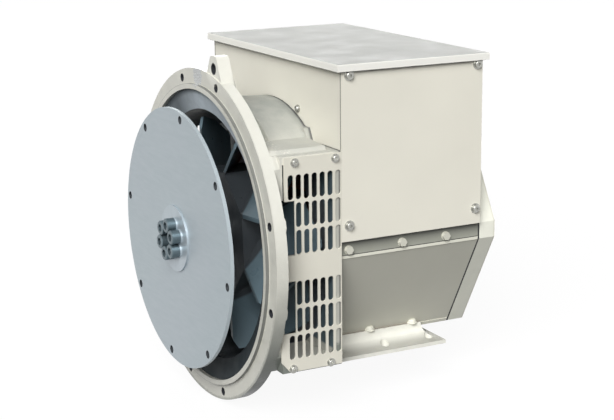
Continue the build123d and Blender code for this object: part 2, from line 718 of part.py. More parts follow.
save(mirror(foot_right.part, about=Plane.XZ), "foot_left")

# ---------------------------------------------------------------- stator core and winding
with BuildPart() as stator_core:
    with BuildSketch(square_to_shaft(CORE_START_X)):
        Circle(CORE_RADIUS)
        Circle(CORE_BORE, mode=Mode.SUBTRACT)
        with PolarLocations(CORE_BORE + STATOR_SLOT_DEPTH / 2, STATOR_SLOTS):
            Rectangle(STATOR_SLOT_DEPTH + 2 * FIT, STATOR_SLOT_WIDTH, mode=Mode.SUBTRACT)
    extrude(amount=CORE_LENGTH)
save(stator_core.part, "stator_core")

with BuildPart() as stator_winding:
    with BuildSketch(square_to_shaft(CORE_START_X - END_TURN_LENGTH)):
        with PolarLocations(CORE_BORE + (STATOR_SLOT_DEPTH + WEDGE) / 2, STATOR_SLOTS):
            Rectangle(STATOR_SLOT_DEPTH - WEDGE, STATOR_SLOT_WIDTH - 2 * FIT)
    extrude(amount=CORE_LENGTH + 2 * END_TURN_LENGTH)
    for start in (CORE_START_X - END_TURN_LENGTH, CORE_START_X + CORE_LENGTH + END_TURN_GAP):
        with BuildSketch(square_to_shaft(start)):
            Circle(CORE_BORE + STATOR_SLOT_DEPTH + END_TURN_RISE)
            Circle(CORE_BORE + WEDGE, mode=Mode.SUBTRACT)
        extrude(amount=END_TURN_LENGTH - END_TURN_GAP)
save(stator_winding.part, "stator_winding")

# ---------------------------------------------------------------- non-drive end
cover_screw_z = (FRAME_BOTTOM_Z + NDE_WALL / 2, FRAME_TOP_Z - NDE_WALL / 2)
cover_screw_places = [(y, z) for y in (-COVER_SCREW_Y, COVER_SCREW_Y) for z in cover_screw_z]
bearing_end_x = BEARING_X + BEARING_WIDTH
bracket_x = FRAME_END_X + NDE_GASKET
with BuildPart() as nde_gasket:
    with BuildSketch(square_to_shaft(FRAME_END_X)):
        Polygon(*frame_outline(0), align=None)
        Circle(bar_radius, mode=Mode.SUBTRACT)
    extrude(amount=NDE_GASKET)
save(nde_gasket.part, "nde_gasket")

with BuildPart() as nde_bracket:
    with BuildSketch(square_to_shaft(bracket_x)):
        Polygon(*frame_outline(0), align=None)
        Polygon(*frame_outline(NDE_WALL), align=None, mode=Mode.SUBTRACT)
    extrude(amount=NDE_BRACKET_END_X - bracket_x)
    with BuildSketch(square_to_shaft(bracket_x)):
        Polygon(*frame_outline(0), align=None)
        Circle(bar_radius, mode=Mode.SUBTRACT)
    extrude(amount=NDE_WEB)
    with BuildSketch(square_to_shaft(bracket_x)):
        Circle(HUB_RADIUS)
        with PolarLocations((HUB_RADIUS + bar_radius) / 2, NDE_ARMS, start_angle=45):
            Rectangle(bar_radius - HUB_RADIUS + NDE_WEB, NDE_ARM_WIDTH)
    extrude(amount=NDE_WEB)
    with BuildSketch(square_to_shaft(BEARING_X - NDE_LIP)):
        Circle(HUB_RADIUS)
    extrude(amount=BEARING_WIDTH + NDE_LIP)
    with BuildSketch(square_to_shaft(BEARING_X)):
        Circle(BEARING_OUTER)
    extrude(amount=BEARING_WIDTH, mode=Mode.SUBTRACT)
    with BuildSketch(square_to_shaft(BEARING_X - NDE_LIP - 1)):
        Circle(BEARING_OUTER - NDE_SEAT)
    extrude(amount=BEARING_WIDTH, mode=Mode.SUBTRACT)
save(nde_bracket.part, "nde_bracket")

with BuildPart() as nde_cover:
    with BuildSketch(square_to_shaft(NDE_BRACKET_END_X)):
        Polygon(*frame_outline(0), align=None)
    extrude(amount=END_COVER_SHEET)
    with BuildSketch(square_to_shaft(NDE_BRACKET_END_X)):
        for side in (-1, 1):
            with Locations((side * LOUVRE_CENTRE_Y, 0)):
                with GridLocations(0, LOUVRE_PITCH, 1, LOUVRES):
                    SlotOverall(LOUVRE_LENGTH, LOUVRE_WIDTH)
    extrude(amount=END_COVER_SHEET, mode=Mode.SUBTRACT)
    with Locations(square_to_shaft(NDE_BRACKET_END_X + END_COVER_SHEET)):
        with Locations(*cover_screw_places):
            Hole(PANEL_SCREW / 2 + SHANK_GAP)
save(nde_cover.part, "nde_cover")

with BuildPart() as nde_cover_screws:
    with Locations(square_to_shaft(NDE_BRACKET_END_X + END_COVER_SHEET)):
        with Locations(*cover_screw_places):
            add(pan_screw(PANEL_SCREW, END_COVER_SHEET))
save(nde_cover_screws.part, "nde_cover_screws")

# ---------------------------------------------------------------- bearing
race = BALL_RADIUS + BALL_CLEARANCE
bearing_middle_x = BEARING_X + BEARING_WIDTH / 2
with BuildPart() as bearing_outer_ring:
    add(turned(
        (BEARING_X, BALL_PITCH_RADIUS + LAND),
        (BEARING_X, BEARING_OUTER),
        (bearing_end_x, BEARING_OUTER),
        (bearing_end_x, BALL_PITCH_RADIUS + LAND),
    ))
    with BuildSketch(Plane.XZ):
        with Locations((bearing_middle_x, BALL_PITCH_RADIUS)):
            Circle(race)
    revolve(axis=Axis.X, mode=Mode.SUBTRACT)
save(bearing_outer_ring.part, "bearing_outer_ring")

with BuildPart() as bearing_inner_ring:
    add(turned(
        (BEARING_X, BEARING_BORE),
        (BEARING_X, BALL_PITCH_RADIUS - LAND),
        (bearing_end_x, BALL_PITCH_RADIUS - LAND),
        (bearing_end_x, BEARING_BORE),
    ))
    with BuildSketch(Plane.XZ):
        with Locations((bearing_middle_x, BALL_PITCH_RADIUS)):
            Circle(race)
    revolve(axis=Axis.X, mode=Mode.SUBTRACT)
save(bearing_inner_ring.part, "bearing_inner_ring")

with BuildPart() as bearing_balls:
    with Locations(square_to_shaft(bearing_middle_x)):
        with PolarLocations(BALL_PITCH_RADIUS, BALLS):
            Sphere(BALL_RADIUS)
save(bearing_balls.part, "bearing_balls")

with BuildPart() as pocket:
    with Locations(Plane(origin=(bearing_middle_x, 0, 0), z_dir=(0, 1, 0))):
        Cylinder(race, 3 * BALL_PITCH_RADIUS)

with BuildPart() as bearing_cage:
    with BuildSketch(square_to_shaft(BEARING_X + CAGE_SIDE)):
        Circle(BALL_PITCH_RADIUS + CAGE_HALF)
        Circle(BALL_PITCH_RADIUS - CAGE_HALF, mode=Mode.SUBTRACT)
    extrude(amount=BEARING_WIDTH - 2 * CAGE_SIDE)
    for i in range(BALLS // 2):
        add(pocket.part, rotation=(i * 360 / BALLS, 0, 0), mode=Mode.SUBTRACT)
save(bearing_cage.part, "bearing_cage")

# ---------------------------------------------------------------- rotor
disc_rear_x = -DISC_SETTING + LAMINATION * LAMINATIONS
spacer_end_x = disc_rear_x + SPACER_LENGTH
disc_holes = on_circle(DISC_PCD / 2, DISC_HOLES, DISC_PHASE)
screw_places = on_circle(COUPLING_SCREW_PCD / 2, COUPLING_SCREWS, COUPLING_SCREW_PHASE)
with BuildPart() as coupling_discs:
    with BuildSketch(drive_face(disc_rear_x)):
        Circle(DISC_RADIUS)
        with Locations(*disc_holes):
            Circle(DISC_HOLE_RADIUS, mode=Mode.SUBTRACT)
        with Locations(*screw_places):
            Circle(M12 / 2 + SHANK_GAP, mode=Mode.SUBTRACT)
    extrude(amount=LAMINATION * LAMINATIONS)
save(coupling_discs.part, "coupling_discs")

with BuildPart() as clamp_plate:
    with BuildSketch(drive_face(-DISC_SETTING)):
        Circle(CLAMP_PLATE_RADIUS)
        with Locations(*screw_places):
            Circle(M12 / 2 + SHANK_GAP, mode=Mode.SUBTRACT)
    extrude(amount=CLAMP_PLATE)
save(clamp_plate.part, "clamp_plate")

with BuildPart() as coupling_washers:
    with BuildSketch(drive_face(-DISC_SETTING - CLAMP_PLATE)):
        with Locations(*screw_places):
            Circle(COUPLING_WASHER_RADIUS)
            Circle(M12 / 2 + SHANK_GAP, mode=Mode.SUBTRACT)
    extrude(amount=WASHER)
save(coupling_washers.part, "coupling_washers")

with BuildPart() as coupling_screws:
    with Locations(drive_face(-DISC_SETTING - CLAMP_PLATE - WASHER)):
        with Locations(*screw_places):
            add(socket_screw(M12, COUPLING_SCREW_LENGTH))
save(coupling_screws.part, "coupling_screws")

with BuildPart() as disc_spacer:
    with BuildSketch(drive_face(spacer_end_x)):
        Circle(CLAMP_PLATE_RADIUS - 1)
        with Locations(*screw_places):
            Circle(M12 / 2 + SHANK_GAP, mode=Mode.SUBTRACT)
    extrude(amount=SPACER_LENGTH)
save(disc_spacer.part, "disc_spacer")

shaft_steps = (
    (spacer_end_x, SHAFT_END_RADIUS),
    (FAN_BACK_X, SHAFT_END_RADIUS),
    (FAN_BACK_X, SHAFT_RADIUS),
    (EXCITER_X - EXCITER_SHOULDER, SHAFT_RADIUS),
    (EXCITER_X - EXCITER_SHOULDER, EXCITER_SEAT_RADIUS),
    (BEARING_X, EXCITER_SEAT_RADIUS),
    (BEARING_X, BEARING_BORE),
    (SHAFT_END_X, BEARING_BORE),
)
with BuildPart() as shaft:
    add(turned((spacer_end_x, 0), *shaft_steps, (SHAFT_END_X, 0)))
    chamfer(shaft.edges().filter_by(GeomType.CIRCLE).sort_by(Axis.X)[-1], SHAFT_CHAMFER)
    with Locations(drive_face(spacer_end_x)):
        with Locations(*screw_places):
            Hole(M12 / 2 + SHANK_GAP, COUPLING_SCREW_LENGTH)
    with BuildSketch(Plane.XZ):
        with Locations((bearing_end_x + CIRCLIP / 2, BEARING_BORE)):
            Rectangle(CIRCLIP, 2 * CIRCLIP_GROOVE)
    revolve(axis=Axis.X, mode=Mode.SUBTRACT)
save(shaft.part, "shaft")

with BuildPart() as circlip:
    with BuildSketch(square_to_shaft(bearing_end_x)):
        Circle(BEARING_BORE + CIRCLIP_RISE)
        Circle(BEARING_BORE - CIRCLIP_GROOVE, mode=Mode.SUBTRACT)
        with Locations((0, BEARING_BORE)):
            Rectangle(CIRCLIP_MOUTH, 3 * CIRCLIP_RISE, mode=Mode.SUBTRACT)
    extrude(amount=CIRCLIP)
save(circlip.part, "bearing_circlip")

with BuildPart() as rotor_core:
    with BuildSketch(square_to_shaft(CORE_START_X)):
        Circle(ROTOR_YOKE_RADIUS)
        with PolarLocations(CORE_BORE / 2, POLES):
            Rectangle(CORE_BORE, POLE_NECK_WIDTH)
        with PolarLocations(CORE_BORE - AIR_GAP - POLE_SHOE / 2, POLES):
            Rectangle(POLE_SHOE, POLE_ARC_WIDTH)
        Circle(CORE_BORE - AIR_GAP, mode=Mode.INTERSECT)
        Circle(SHAFT_RADIUS, mode=Mode.SUBTRACT)
    extrude(amount=CORE_LENGTH)
save(rotor_core.part, "rotor_core")

coil_outer = CORE_BORE - AIR_GAP - POLE_SHOE
coil_height = coil_outer - ROTOR_YOKE_RADIUS
core_middle_x = CORE_START_X + CORE_LENGTH / 2
with BuildPart() as field_coils:
    for pole in range(POLES):
        turn = Rotation(pole * 360 / POLES, 0, 0)
        with BuildSketch(Plane(turn * Plane.XY.offset(ROTOR_YOKE_RADIUS).location)):
            with Locations((core_middle_x, 0)):
                RectangleRounded(CORE_LENGTH + 2 * COIL_SIDE, POLE_NECK_WIDTH + 2 * COIL_SIDE, COIL_SIDE)
                Rectangle(CORE_LENGTH, POLE_NECK_WIDTH, mode=Mode.SUBTRACT)
        extrude(amount=coil_height)
save(field_coils.part, "field_coils")

# one flat blade, drawn with its hub corner on +Y: local x runs out along the front edge
sweep, pitch = radians(FAN_BLADE_SWEEP), radians(FAN_BLADE_PITCH)
blade_depth = (FAN_BACK_X - FAN_FRONT_X) / sin(pitch)
heel_depth = FAN_BLADE_HEEL / cos(pitch)
blade_plane = Plane(
    origin=(FAN_FRONT_X, FAN_HUB_RADIUS, 0),
    x_dir=(0, cos(sweep), sin(sweep)),
    z_dir=(-cos(pitch), sin(pitch) * sin(sweep), -sin(pitch) * cos(sweep)),
)
with BuildPart() as blade:
    with BuildSketch(blade_plane):
        Polygon(
            (-EXTRA, -EXTRA),
            (FAN_FRONT_EDGE - EXTRA, -EXTRA),
            (FAN_FRONT_EDGE, 0),
            (FAN_FRONT_EDGE + FAN_CORNER_LENGTH, FAN_CORNER_DEPTH),
            (FAN_BLADE_REACH, FAN_CORNER_DEPTH + FAN_BLADE_REACH - FAN_FRONT_EDGE),
            (FAN_BLADE_REACH, blade_depth + EXTRA),
            (-FAN_BLADE_HEEL, blade_depth + EXTRA),
            (-FAN_BLADE_HEEL, heel_depth),
            align=None,
        )
    extrude(amount=FAN_BLADE_THICKNESS / 2, both=True)
    with BuildSketch(square_to_shaft(FAN_FRONT_X)):
        Circle(FAN_RADIUS)
        RegularPolygon(FAN_HUB_RADIUS - FAN_HUB_WALL / 2, FAN_BLADES, mode=Mode.SUBTRACT)
    extrude(amount=FAN_BACK_X - FAN_FRONT_X, mode=Mode.INTERSECT)

with BuildPart() as fan:
    with BuildSketch(square_to_shaft(FAN_FRONT_X)):
        RegularPolygon(FAN_HUB_RADIUS, FAN_BLADES, rotation=FAN_PHASE)
    extrude(amount=FAN_BACK_X - FAN_FRONT_X)
    with BuildSketch(square_to_shaft(FAN_FRONT_X + FAN_HUB_WALL)):
        RegularPolygon(FAN_HUB_RADIUS - FAN_HUB_WALL, FAN_BLADES, rotation=FAN_PHASE)
        Circle(FAN_BOSS_RADIUS, mode=Mode.SUBTRACT)
    extrude(amount=FAN_BACK_X - FAN_FRONT_X, mode=Mode.SUBTRACT)
    for i in range(FAN_BLADES):
        add(blade.part, rotation=(FAN_PHASE + i * 360 / FAN_BLADES, 0, 0))
    with BuildSketch(square_to_shaft(FAN_FRONT_X)):
        Circle(SHAFT_END_RADIUS)
    extrude(amount=FAN_BACK_X - FAN_FRONT_X, mode=Mode.SUBTRACT)
save(fan.part, "fan")

# ---------------------------------------------------------------- exciter and rectifier
with BuildPart() as exciter_field:
    with BuildSketch(square_to_shaft(EXCITER_X)):
        Circle(EXCITER_RADIUS)
        Circle(EXCITER_BORE, mode=Mode.SUBTRACT)
        with PolarLocations(EXCITER_BORE, EXCITER_TEETH):
            Rectangle(2 * EXCITER_SLOT_DEPTH, EXCITER_SLOT_WIDTH, mode=Mode.SUBTRACT)
    extrude(amount=EXCITER_LENGTH)
    # the feet that carry the field off the bracket web
    with BuildSketch(square_to_shaft(EXCITER_X + EXCITER_LENGTH)):
        with PolarLocations(EXCITER_FOOT_PITCH_RADIUS, NDE_ARMS, start_angle=45):
            Circle(EXCITER_FOOT_RADIUS)
    extrude(amount=bracket_x - EXCITER_X - EXCITER_LENGTH)
save(exciter_field.part, "exciter_field")

with BuildPart() as exciter_armature:
    with BuildSketch(square_to_shaft(EXCITER_X)):
        Circle(EXCITER_BORE - EXCITER_GAP)
        Circle(EXCITER_SEAT_RADIUS, mode=Mode.SUBTRACT)
        with PolarLocations(EXCITER_BORE, 2 * EXCITER_TEETH):
            Rectangle(2 * EXCITER_SLOT_DEPTH, EXCITER_SLOT_WIDTH / 2, mode=Mode.SUBTRACT)
    extrude(amount=EXCITER_LENGTH)
save(exciter_armature.part, "exciter_armature")

with BuildPart() as rectifier_plate:
    with BuildSketch(square_to_shaft(RECTIFIER_X)):
        Circle(RECTIFIER_RADIUS)
        Circle(EXCITER_SEAT_RADIUS, mode=Mode.SUBTRACT)
    extrude(amount=RECTIFIER_PLATE)
save(rectifier_plate.part, "rectifier_plate")

with BuildPart() as rectifier_diodes:
    with BuildSketch(square_to_shaft(RECTIFIER_X - DIODE_LENGTH)):
        with PolarLocations((RECTIFIER_RADIUS + EXCITER_SEAT_RADIUS) / 2, DIODES):
            Circle(DIODE_RADIUS)
    extrude(amount=DIODE_LENGTH)
save(rectifier_diodes.part, "rectifier_diodes")

# ---------------------------------------------------------------- terminal box
inside_half = BOX_HALF_WIDTH - BOX_SHEET
box_middle_x = (BOX_FRONT_X + BOX_REAR_X) / 2
box_length = BOX_REAR_X - BOX_FRONT_X
post_x = (BOX_FRONT_X + BOX_SHEET, BOX_REAR_X - BOX_SHEET)
with BuildPart() as box_frame:
    with BuildSketch(Plane.XY.offset(FRAME_TOP_Z - COVER_SHEET)):
        with Locations((box_middle_x, 0)):
            Rectangle(box_length - 2 * BOX_SHEET, 2 * inside_half)
            Rectangle(*LEAD_HOLE, mode=Mode.SUBTRACT)
    extrude(amount=TRAY_SHEET)
    with BuildSketch(Plane.XY.offset(POST_BOTTOM_Z)):
        for side in (-1, 1):
            for x, way in ((post_x[0], 1), (post_x[1], -1)):
                with Locations((x + way * POST_X / 2, side * (inside_half - TRAY_SHEET / 2))):
                    Rectangle(POST_X, TRAY_SHEET)
                with Locations((x + way * TRAY_SHEET / 2, side * (inside_half - POST_Y / 2))):
                    Rectangle(TRAY_SHEET, POST_Y)
    extrude(amount=PANEL_TOP_Z - POST_BOTTOM_Z)
    for z in PANEL_SCREW_Z:
        for x in PANEL_SCREW_X:
            with Locations(Plane(origin=(x, 0, z), z_dir=(0, 1, 0))):
                Cylinder(PANEL_SCREW / 2 + SHANK_GAP, 2 * BOX_HALF_WIDTH, mode=Mode.SUBTRACT)
save(box_frame.part, "box_frame")

with BuildPart() as box_side_right:
    with BuildSketch(right_face(inside_half)):
        with Locations((box_middle_x, (PANEL_TOP_Z + PANEL_BOTTOM_Z) / 2)):
            Rectangle(box_length, PANEL_TOP_Z - PANEL_BOTTOM_Z)
        with Locations(*[(x, z) for x in PANEL_SCREW_X for z in PANEL_SCREW_Z]):
            Circle(PANEL_SCREW / 2 + SHANK_GAP, mode=Mode.SUBTRACT)
    extrude(amount=BOX_SHEET)
save(box_side_right.part, "box_side_right")
save(mirror(box_side_right.part, about=Plane.XZ), "box_side_left")

with BuildPart() as box_front:
    with BuildSketch(square_to_shaft(BOX_FRONT_X)):
        with Locations((0, (PANEL_TOP_Z + SIDE_TOP_Z) / 2)):
            Rectangle(2 * inside_half, PANEL_TOP_Z - SIDE_TOP_Z - 2 * FIT)
        Circle(DRUM_RADIUS + FIT, mode=Mode.SUBTRACT)
        Polygon(*frame_outline(COVER_SHEET), align=None, mode=Mode.SUBTRACT)
    extrude(amount=BOX_SHEET)
save(box_front.part, "box_front")

with BuildPart() as box_rear:
    with BuildSketch(square_to_shaft(BOX_REAR_X - BOX_SHEET)):
        with Locations((0, (PANEL_TOP_Z + PANEL_BOTTOM_Z) / 2)):
            Rectangle(2 * inside_half, PANEL_TOP_Z - PANEL_BOTTOM_Z)
        Polygon(*frame_outline(COVER_SHEET), align=None, mode=Mode.SUBTRACT)
    extrude(amount=BOX_SHEET)
save(box_rear.part, "box_rear")

with BuildPart() as box_lid:
    with BuildSketch(Plane.XY.offset(LID_TOP_Z - LID_LIP)):
        with Locations(((LID_FRONT_X + LID_REAR_X) / 2, 0)):
            Rectangle(LID_REAR_X - LID_FRONT_X, 2 * LID_HALF_WIDTH)
    extrude(amount=LID_LIP)
    fillet(box_lid.edges().group_by(Axis.Z)[-1], LID_ROUND)
    with BuildSketch(Plane.XY.offset(LID_TOP_Z - LID_LIP)):
        with Locations(((LID_FRONT_X + LID_REAR_X) / 2, 0)):
            Rectangle(LID_REAR_X - LID_FRONT_X - 2 * BOX_SHEET, 2 * (LID_HALF_WIDTH - BOX_SHEET))
    extrude(amount=LID_LIP - (LID_TOP_Z - PANEL_TOP_Z), mode=Mode.SUBTRACT)
save(box_lid.part, "box_lid")

with BuildPart() as panel_screws:
    for side in (-1, 1):
        for x in PANEL_SCREW_X:
            for z in PANEL_SCREW_Z:
                with Locations(Plane(origin=(x, side * BOX_HALF_WIDTH, z), z_dir=(0, side, 0))):
                    add(pan_screw(PANEL_SCREW, BOX_SHEET + TRAY_SHEET))
save(panel_screws.part, "panel_screws")

floor_z = FRAME_TOP_Z - COVER_SHEET + TRAY_SHEET
with BuildPart() as terminal_board:
    with Locations((TERMINAL_BOARD_X, 0, floor_z)):
        Box(*TERMINAL_BOARD_SIZE, align=(Align.CENTER, Align.CENTER, Align.MIN))
    fillet(terminal_board.edges().filter_by(Axis.Z), MOULDING_ROUND)
save(terminal_board.part, "terminal_board")

stud_y = [(i - (TERMINAL_STUDS - 1) / 2) * STUD_PITCH for i in range(TERMINAL_STUDS)]
with BuildPart() as terminal_studs:
    with BuildSketch(Plane.XY.offset(floor_z + TERMINAL_BOARD_SIZE[2])):
        with Locations(*[(TERMINAL_BOARD_X, y) for y in stud_y]):
            Circle(STUD_SIZE / 2)
    extrude(amount=STUD_LENGTH)
    with BuildSketch(Plane.XY.offset(floor_z + TERMINAL_BOARD_SIZE[2])):
        with Locations(*[(TERMINAL_BOARD_X, y) for y in stud_y]):
            RegularPolygon(STUD_SIZE * 0.95, 6)
    extrude(amount=STUD_NUT)
save(terminal_studs.part, "terminal_studs")

with BuildPart() as regulator:
    with Locations((REGULATOR_X, 0, floor_z)):
        Box(*REGULATOR_SIZE, align=(Align.CENTER, Align.CENTER, Align.MIN))
    fillet(regulator.edges().group_by(Axis.Z)[-1], MOULDING_ROUND)
save(regulator.part, "voltage_regulator")
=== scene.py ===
"""Looks of the generator alternator head: finishes, small raised detail, light and camera.

Everything is in metres in the CAD frame: the origin is the centre of the flange's mating face, +X runs to the
non-drive end and +Z is up. The drive end's right-hand side, which the camera sees, is -Y.
"""

from math import cos, radians, sin, tau

import bpy
from mathutils import Matrix, Vector


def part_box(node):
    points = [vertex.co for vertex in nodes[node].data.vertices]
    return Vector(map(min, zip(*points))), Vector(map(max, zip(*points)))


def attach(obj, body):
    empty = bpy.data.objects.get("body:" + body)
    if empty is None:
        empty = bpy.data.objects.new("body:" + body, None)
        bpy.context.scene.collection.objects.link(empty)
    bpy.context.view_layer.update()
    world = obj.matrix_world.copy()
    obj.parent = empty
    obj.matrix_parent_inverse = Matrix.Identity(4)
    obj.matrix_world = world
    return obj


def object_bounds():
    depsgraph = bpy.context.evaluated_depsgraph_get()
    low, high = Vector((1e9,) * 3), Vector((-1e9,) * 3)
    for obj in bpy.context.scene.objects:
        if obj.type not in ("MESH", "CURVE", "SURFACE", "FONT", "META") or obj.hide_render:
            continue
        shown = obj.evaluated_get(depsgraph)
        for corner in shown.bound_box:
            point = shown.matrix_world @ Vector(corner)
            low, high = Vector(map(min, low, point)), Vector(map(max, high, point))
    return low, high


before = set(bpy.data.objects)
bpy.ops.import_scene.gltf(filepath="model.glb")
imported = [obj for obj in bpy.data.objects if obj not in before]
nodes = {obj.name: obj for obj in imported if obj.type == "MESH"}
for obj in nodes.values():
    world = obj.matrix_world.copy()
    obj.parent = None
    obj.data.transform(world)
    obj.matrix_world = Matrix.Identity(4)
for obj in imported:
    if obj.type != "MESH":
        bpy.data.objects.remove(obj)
cad_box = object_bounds()
scene = bpy.context.scene

# ---------------------------------------------------------------- places on the model, in millimetres
# A pair is where a mark starts and where it is full, or the (y, z) of a hole, a patch or a joint. The three that
# differ stand last: an angle in radians, and the strip's two heights, which come from the CAD in metres.
MM = 0.001
FLANGE_HOLE_NEAR = (55.47, 207.01)
FLANGE_HOLE_RADIUS = 5.5
FLANGE_RIM = (221, 224)
FLANGE_FACE = (1.6, 0.8)
FLANGE_BACK = (20, 17)
RIM_HIGHLIGHT = (12, 45)
RIM_HIGHLIGHT_BEHIND = (0.5, 2)
RIM_SHADED = (-10, -130)
RIM_SHADED_BEHIND = (-0.5, 1.5)
RIM_DEEP_SHADED = (-135, -190)
RIM_DEEP_SHADED_BEHIND = (0.5, 3)
RIM_RAGGED = 3
SPIGOT_WALL = (204.2, 204.6)
SPIGOT_PROUD = (-0.35, -0.7)
INSIDE_RADIUS = 173
INSIDE_DEPTH = (8, 12)
DRUM_FRONT = (24, 30)
DRUM_TOP = (125, 170)
GLINT_LENGTH = (52, 38)
GLINT_HEIGHT = (0, 90)
PANEL_SHADOW = (96, 109)
PANEL_CONTACT = (105.5, 107.5)
WINDOWS_DEPTH = (186.2, 185)
WINDOWS_HEIGHT = (125, 122)
WINDOWS_FRONT = (13, 15)
WINDOWS_REAR = (103, 101)
LUG_HOLE = (-46, 230.9)
LUG_HOLE_RADIUS = 7.2
LUG_PALE_RADIUS = 15
CROWN_PATCH = (3, 217)
CROWN_PATCH_RADIUS = 13
BAFFLE_LIT_UP = (30, 128)
BAFFLE_RAGGED = 12
BAFFLE_SHADED_SIDE = (10, 80)
BAFFLE_SEAT = (190, 196)
FOOT_HOLES_X = (141, 211, 281)
FOOT_HOLE_Y = 127
FOOT_HOLE_RADIUS = 5.2
FOOT_JOINT = (112.5, -134)
FOOT_JOINT_RADIUS = 1.6
FAN_HUB_RADIUS = 94
FAN_TIPS = (120, 168)
DISC_EDGE_HIGHLIGHT = (175.2, 176.0)
DISC_HOLES = 8
DISC_HOLE_RADIUS = 5.3
DISC_HOLE_CIRCLE = 166.69
DISC_HOLE_PHASE = radians(80.8)
STRIP_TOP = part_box("box_side_right")[0][2]
STRIP_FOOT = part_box("side_cover_right")[1][2]


# ---------------------------------------------------------------- colours
def srgb(red, green, blue):
    """A colour given as 0 to 255 screen values, as the linear values that shaders take."""
    linear = []
    for value in (red, green, blue):
        share = value / 255
        linear.append(share / 12.92 if share <= 0.04045 else ((share + 0.055) / 1.055) ** 2.4)
    return (*linear, 1.0)


CREAM = srgb(228, 225, 212)
CREAM_CAST = srgb(207, 206, 196)
CREAM_FOOT = srgb(226, 225, 215)
CREAM_GRILLE = srgb(220, 217, 204)
CREAM_COVER = srgb(220, 219, 205)
# A darker copy of the covers' cream: painted shade for the slanted side covers and their bolts.
SHADED_SLANT_CREAM = srgb(205, 204, 191)
CREAM_END = srgb(222, 222, 210)
STRIP_LOW = srgb(171, 172, 160)
STRIP_SHADOW = srgb(70, 72, 70)
# The lid's lip colour, and a darker copy of it for the top: painted shade.
LID_CREAM = srgb(240, 239, 232)
LID_TOP_SHADE = srgb(172, 173, 169)
DRUM_SHADE = srgb(152, 155, 150)
RIM_SHADE = srgb(94, 101, 95)
RIM_DEEP_SHADE = srgb(38, 52, 60)
WALL_SHADE = srgb(72, 76, 76)
BAFFLE_CROWN = srgb(206, 216, 223)
BAFFLE_SHADOW = srgb(36, 44, 48)
DISC_GREY = srgb(140, 149, 153)
DISC_VIOLET = srgb(150, 150, 161)
PLATE_GREY = srgb(144, 153, 158)
TEAL = srgb(76, 91, 98)
OXIDE = srgb(98, 112, 118)
ZINC = srgb(176, 176, 170)
STEEL = srgb(150, 153, 155)
IRON_AND_SHADE = srgb(46, 48, 52)
COPPER = srgb(150, 70, 44)
BLACK = srgb(30, 31, 33)
RUBBER = srgb(34, 35, 36)
POTTING = srgb(36, 52, 84)
BRASS = srgb(196, 164, 96)
BARE_IRON = srgb(196, 198, 197)
RUST = srgb(104, 76, 56)
CAVITY = srgb(66, 71, 75)


# ---------------------------------------------------------------- materials
EDGE_HIGHLIGHT_SPAN = (0.53, 0.6)  # pointiness where the painted edge highlight starts and where it is full
RAGGED_SCALE = 260
NOISE_SPAN = (0.3, 0.7)  # nearly all of a noise lies between these


